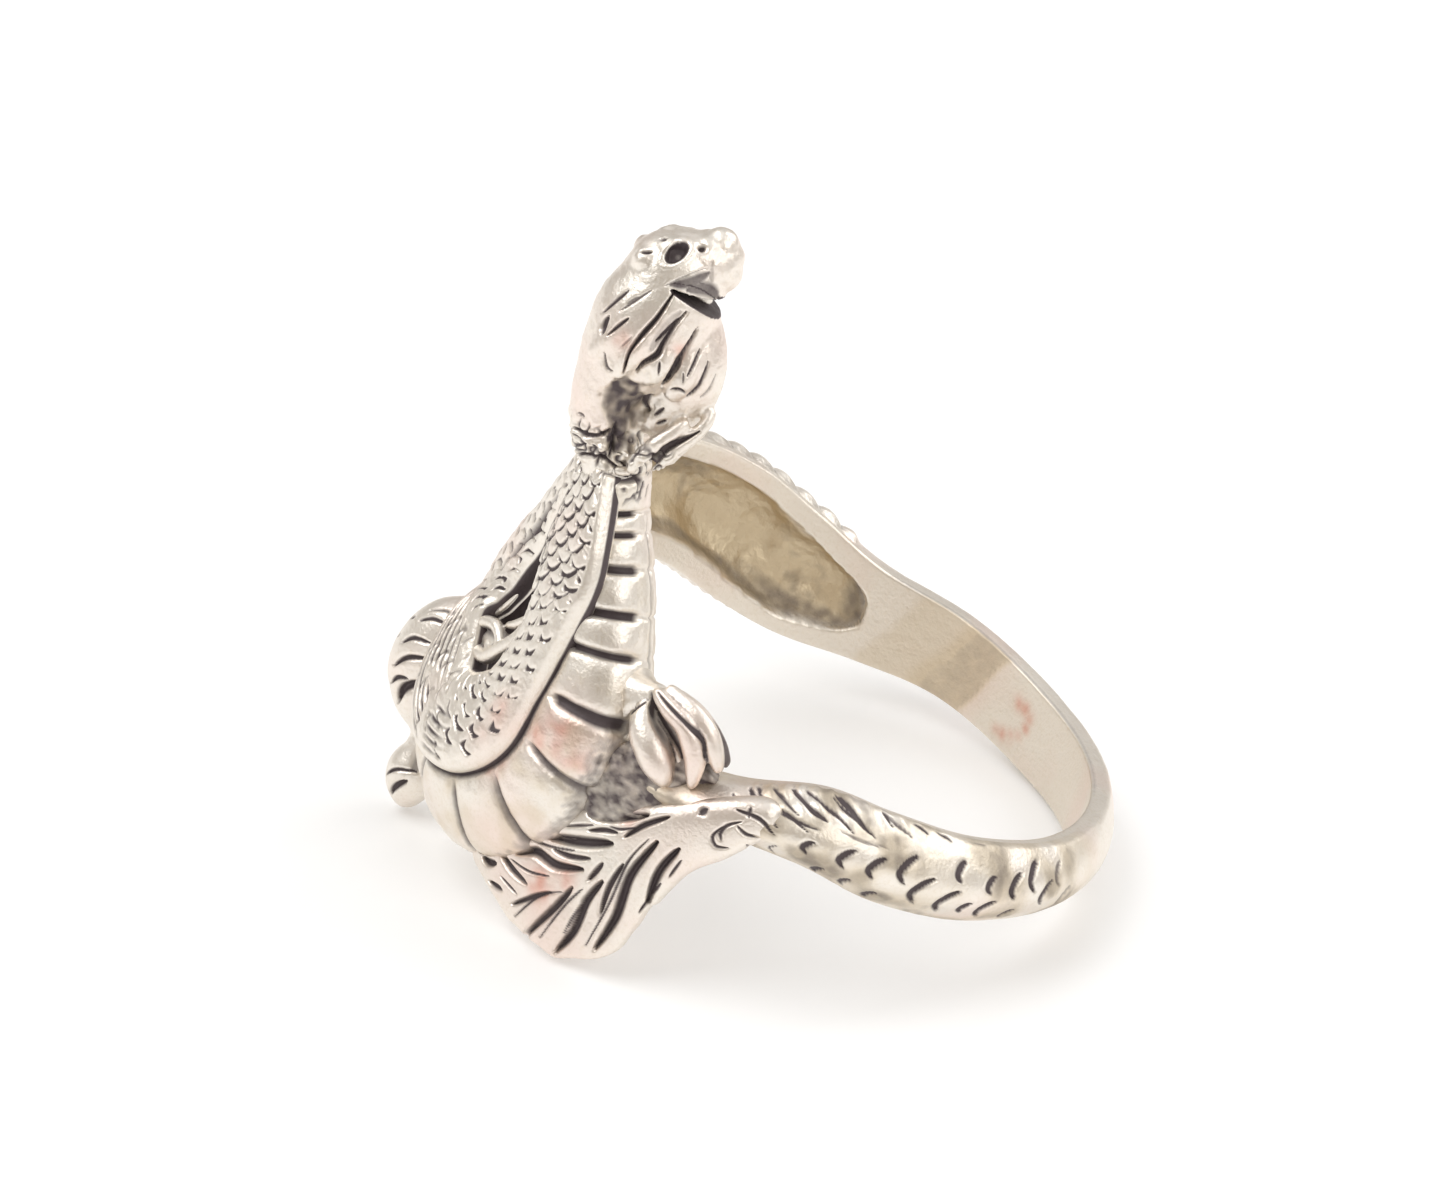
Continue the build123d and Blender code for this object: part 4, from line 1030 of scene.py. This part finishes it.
def makeCurl():
    parts = [pointed(curl[name], curl["step"]) for name in ("rows", "light", "lip", "bed")]
    piece, points, normals = melt(parts, curl["voxel"], curl["smooth"])
    skin = Skin(points)
    # tarnish and painted shade in the hollows
    skin.darken(hollows(piece, points, normals, *curl["hollows"]))
    # the bed painted dark: painted shade in the loop's hole under the curl
    skin.darken(curl["bedShade"] * fade(points[:, 1], -11.2, -11.0) * (1 - fade(points[:, 2], 1.6, 1.9)))
    return dress(piece, "holeCurl", points, normals, skin)


# Shader maths: one wire of a node tree, with the operators used here.
class Wire:
    def __init__(self, tree, socket):
        self.tree = tree
        self.socket = socket

    def maths(self, operation, first, second):
        return node(self.tree, "ShaderNodeMath", {"operation": operation}, {0: first, 1: second})[0]

    def __add__(self, other):
        return self.maths("ADD", self, other)

    def __radd__(self, other):
        return self.maths("ADD", other, self)

    def __sub__(self, other):
        return self.maths("SUBTRACT", self, other)

    def __rsub__(self, other):
        return self.maths("SUBTRACT", other, self)

    def __mul__(self, other):
        return self.maths("MULTIPLY", self, other)

    def __rmul__(self, other):
        return self.maths("MULTIPLY", other, self)


def node(tree, kind, settings, inputs):
    # a node with its settings, ramp stops and inputs, which are numbers, colours or wires
    made = tree.nodes.new(kind)
    for name, value in settings.items():
        if name == "stops":
            ramp = made.color_ramp
            while len(ramp.elements) < len(value):
                ramp.elements.new(0.5)
            for element, (place, colour) in zip(ramp.elements, value):
                element.position = place
                element.color = (*colour, 1)
        else:
            setattr(made, name, value)
    for name, value in inputs.items():
        if isinstance(value, Wire):
            tree.links.new(value.socket, made.inputs[name])
        else:
            made.inputs[name].default_value = value
    return [Wire(tree, socket) for socket in made.outputs]


def mixColours(tree, factor, first, second):
    # sockets 0, 6 and 7 are the factor and the two colours, and 2 the mixed colour
    inputs = {0: factor}
    for index, value in ((6, first), (7, second)):
        inputs[index] = value if isinstance(value, Wire) else (*value, 1)
    return node(tree, "ShaderNodeMix", {"data_type": "RGBA"}, inputs)[2]


def mapRange(tree, value, start, end, top=1.0, **settings):
    ends = {"Value": value, "From Min": start, "From Max": end, "To Max": top}
    return node(tree, "ShaderNodeMapRange", settings, ends)[0]


# Silver: warm and polished, black in the grooves and where shade is painted, tan on the unpolished cast
# floor.
silver = {
    "bright": (0.88, 0.825, 0.75), "flushed": (0.88, 0.74, 0.67), "tarnish": (0.098, 0.077, 0.08),
    "cast": (0.68, 0.57, 0.4), "stained": (0.76, 0.44, 0.36),
    "roughness": 0.4, "roughnessSpread": 0.16, "tarnishRoughness": 0.55, "castRoughness": 0.5,
    "bump": 0.00002, "castBump": 0.00006, "grainBump": 0.000016, "grainShade": 0.22,
    # tarnish and painted shade at which the black starts and is full, how far noise shifts it, and how
    # much less metallic the black is
    "darkeningStart": 0.22, "darkeningFull": 0.8, "darkeningNoise": 0.35, "darkeningDull": 0.6,
    "flushStops": [(0.48, (0, 0, 0)), (0.7, (0.8, 0.8, 0.8))], "grainStart": 0.5, "grainFull": 0.75,
    # scale, detail and roughness of the noise for patches, speckle, fine grain and grain
    "noises": [(260.0, 2.0, 0.5), (2600.0, 4.0, 0.5), (1500.0, 6.0, 0.65), (9000.0, 2.0, 0.5)],
}


def makeSilver():
    material = bpy.data.materials.new("silver")
    material.use_nodes = True
    tree = material.node_tree
    surface = tree.nodes["Principled BSDF"]
    place = node(tree, "ShaderNodeTexCoord", {}, {})[3]
    patches, speckle, fine, grain = [
        node(tree, "ShaderNodeTexNoise", {},
             {"Vector": place, "Scale": scale, "Detail": detail, "Roughness": roughness})[0]
        for scale, detail, roughness in silver["noises"]]
    # the darkening attribute holds both tarnish and painted shade
    tarnish, rough, stain = [node(tree, "ShaderNodeAttribute", {"attribute_name": name}, {})[2]
                             for name in ("tarnish", "rough", "stain")]
    flush = node(tree, "ShaderNodeValToRGB", {"stops": silver["flushStops"]}, {"Fac": patches})[0]
    noisy = tarnish + (fine - 0.5) * silver["darkeningNoise"]
    darkening = mapRange(tree, noisy, silver["darkeningStart"], silver["darkeningFull"])
    speck = mapRange(tree, grain, silver["grainStart"], silver["grainFull"], silver["grainShade"])
    colour = silver["bright"]
    for factor, name in ((flush, "flushed"), (stain, "stained"), (rough, "cast"), (speck, "cast"),
                         (darkening, "tarnish")):
        colour = mixColours(tree, factor, colour, silver[name])
    smooth = silver["roughness"] + (fine - 0.5) * silver["roughnessSpread"]
    smooth = smooth + rough * (silver["castRoughness"] - silver["roughness"])
    smooth = smooth + darkening * (silver["tarnishRoughness"] - silver["roughness"])
    relief = speckle * rough * (silver["castBump"] / silver["bump"])
    relief = relief + fine + grain * (silver["grainBump"] / silver["bump"])
    bump = {"Height": relief, "Distance": silver["bump"], "Strength": 1.0}
    results = {"Base Color": colour, "Roughness": smooth, "Metallic": 1 - darkening * silver["darkeningDull"],
               "Normal": node(tree, "ShaderNodeBump", {}, bump)[0]}
    for name, wire in results.items():
        tree.links.new(wire.socket, surface.inputs[name])
    return material


# Studio: a pale room that is greyer near the horizon, and soft lamps.
studio = {
    "sky": [(0.0, (0.8, 0.79, 0.77)), (0.46, (0.62, 0.58, 0.53)), (0.58, (0.5, 0.46, 0.41)),
            (0.74, (0.85, 0.84, 0.83)), (1.0, (1.0, 1.0, 1.0))],
    # the photographer's side is darker
    "skyStrength": 0.8, "photographer": (0.75, -0.45, 0.48), "shade": (0.42, 0.36, 0.29), "shading": 0.75,
    "shadeEnds": (0.62, 0.97),
    # place, size and power of each lamp, in metres and watts
    "lamps": [((-0.12, -0.28, 0.42), 0.4, 1.2), ((0.42, 0.1, 0.3), 0.3, 0.5), ((0.05, 0.42, 0.35), 0.4, 0.8)],
    "floor": (0.9, 0.9, 0.9), "floorGlow": 0.1, "floorSize": 3,
}


def makeStudio():
    world = bpy.data.worlds.new("studio")
    world.use_nodes = True
    bpy.context.scene.world = world
    tree = world.node_tree
    direction = node(tree, "ShaderNodeTexCoord", {}, {})[0]
    height = node(tree, "ShaderNodeSeparateXYZ", {}, {0: direction})[2]
    sky = node(tree, "ShaderNodeValToRGB", {"stops": studio["sky"]}, {"Fac": height * 0.5 + 0.5})[0]
    sides = {0: direction, 1: studio["photographer"]}
    towards = node(tree, "ShaderNodeVectorMath", {"operation": "DOT_PRODUCT"}, sides)[1]
    shaded = mapRange(tree, towards, *studio["shadeEnds"], interpolation_type="SMOOTHSTEP")
    sky = mixColours(tree, shaded * studio["shading"], sky, studio["shade"])
    background = tree.nodes["Background"]
    tree.links.new(sky.socket, background.inputs["Color"])
    background.inputs["Strength"].default_value = studio["skyStrength"]
    for index, (spot, size, power) in enumerate(studio["lamps"]):
        bpy.ops.object.light_add(type="AREA", location=spot)
        lamp = bpy.context.active_object
        lamp.name = "lamp%d" % index
        lamp.data.size = size
        lamp.data.energy = power
        lamp.rotation_mode = "QUATERNION"
        lamp.rotation_quaternion = (-lamp.location).to_track_quat("-Z", "Y")
    bpy.ops.mesh.primitive_plane_add(size=studio["floorSize"], location=(0, 0, 0))
    floor = bpy.context.active_object
    floor.name = "floor"
    paper = bpy.data.materials.new("paper")
    paper.use_nodes = True
    sheet = paper.node_tree.nodes["Principled BSDF"]
    for name, value in (("Base Color", (*studio["floor"], 1)), ("Roughness", 0.5),
                        ("Emission Color", (1, 1, 1, 1)), ("Emission Strength", studio["floorGlow"])):
        sheet.inputs[name].default_value = value
    floor.data.materials.append(paper)


# Camera: turned by azimuth and elevation round a ring that leans back by lean. A spot on
# the finger axis, in mm on the standing ring, is at spotPixel in the photo.
camera = {
    "azimuth": 62, "elevation": 31.5, "lean": 20, "distance": 200,
    "spot": (0, 0, 1.35), "spotPixel": (831.3, 693.8), "photoPixels": (1445, 1190), "pixelsPerMm": 32,
    "sensor": 36,
}


def makeCamera():
    azimuth, elevation, lean = np.radians([camera["azimuth"], camera["elevation"], camera["lean"]])
    right = (math.cos(azimuth), math.sin(azimuth), 0)
    flat = math.cos(elevation)
    back = (math.sin(azimuth) * flat, -math.cos(azimuth) * flat, math.sin(elevation))
    # the camera's own axes, taken from the leaning ring to the standing one
    x, y, z = np.stack([right, np.cross(back, right), back]).T
    axes = np.stack([x, math.cos(lean) * y - math.sin(lean) * z, math.sin(lean) * y + math.cos(lean) * z], -1)
    width, height = camera["photoPixels"]
    across, down = camera["spotPixel"]
    scale = camera["pixelsPerMm"]
    away = np.array([(width / 2 - across) / scale, (down - height / 2) / scale, camera["distance"]])
    bpy.ops.object.camera_add()
    made = bpy.context.active_object
    turn = Matrix(turnDown(axes).tolist()).transposed()
    made.matrix_world = Matrix.Translation(layDown(camera["spot"] + away @ axes)) @ turn.to_4x4()
    made.data.lens = scale * camera["distance"] * camera["sensor"] / width
    made.data.sensor_width = camera["sensor"]
    made.data.clip_start = 0.01
    bpy.context.scene.camera = made


material = makeSilver()
for make in (makeBand, makeCoil, makeStrip, makeCurl, makeHead, makeFoot, makeFarLeg, makeTuft, makeWeb):
    piece = make()
    piece.data.materials.clear()
    piece.data.materials.append(material)
    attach(piece, "root")
    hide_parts("dragon_ring")
makeStudio()
makeCamera()
bpy.context.scene.view_settings.view_transform = "Standard"
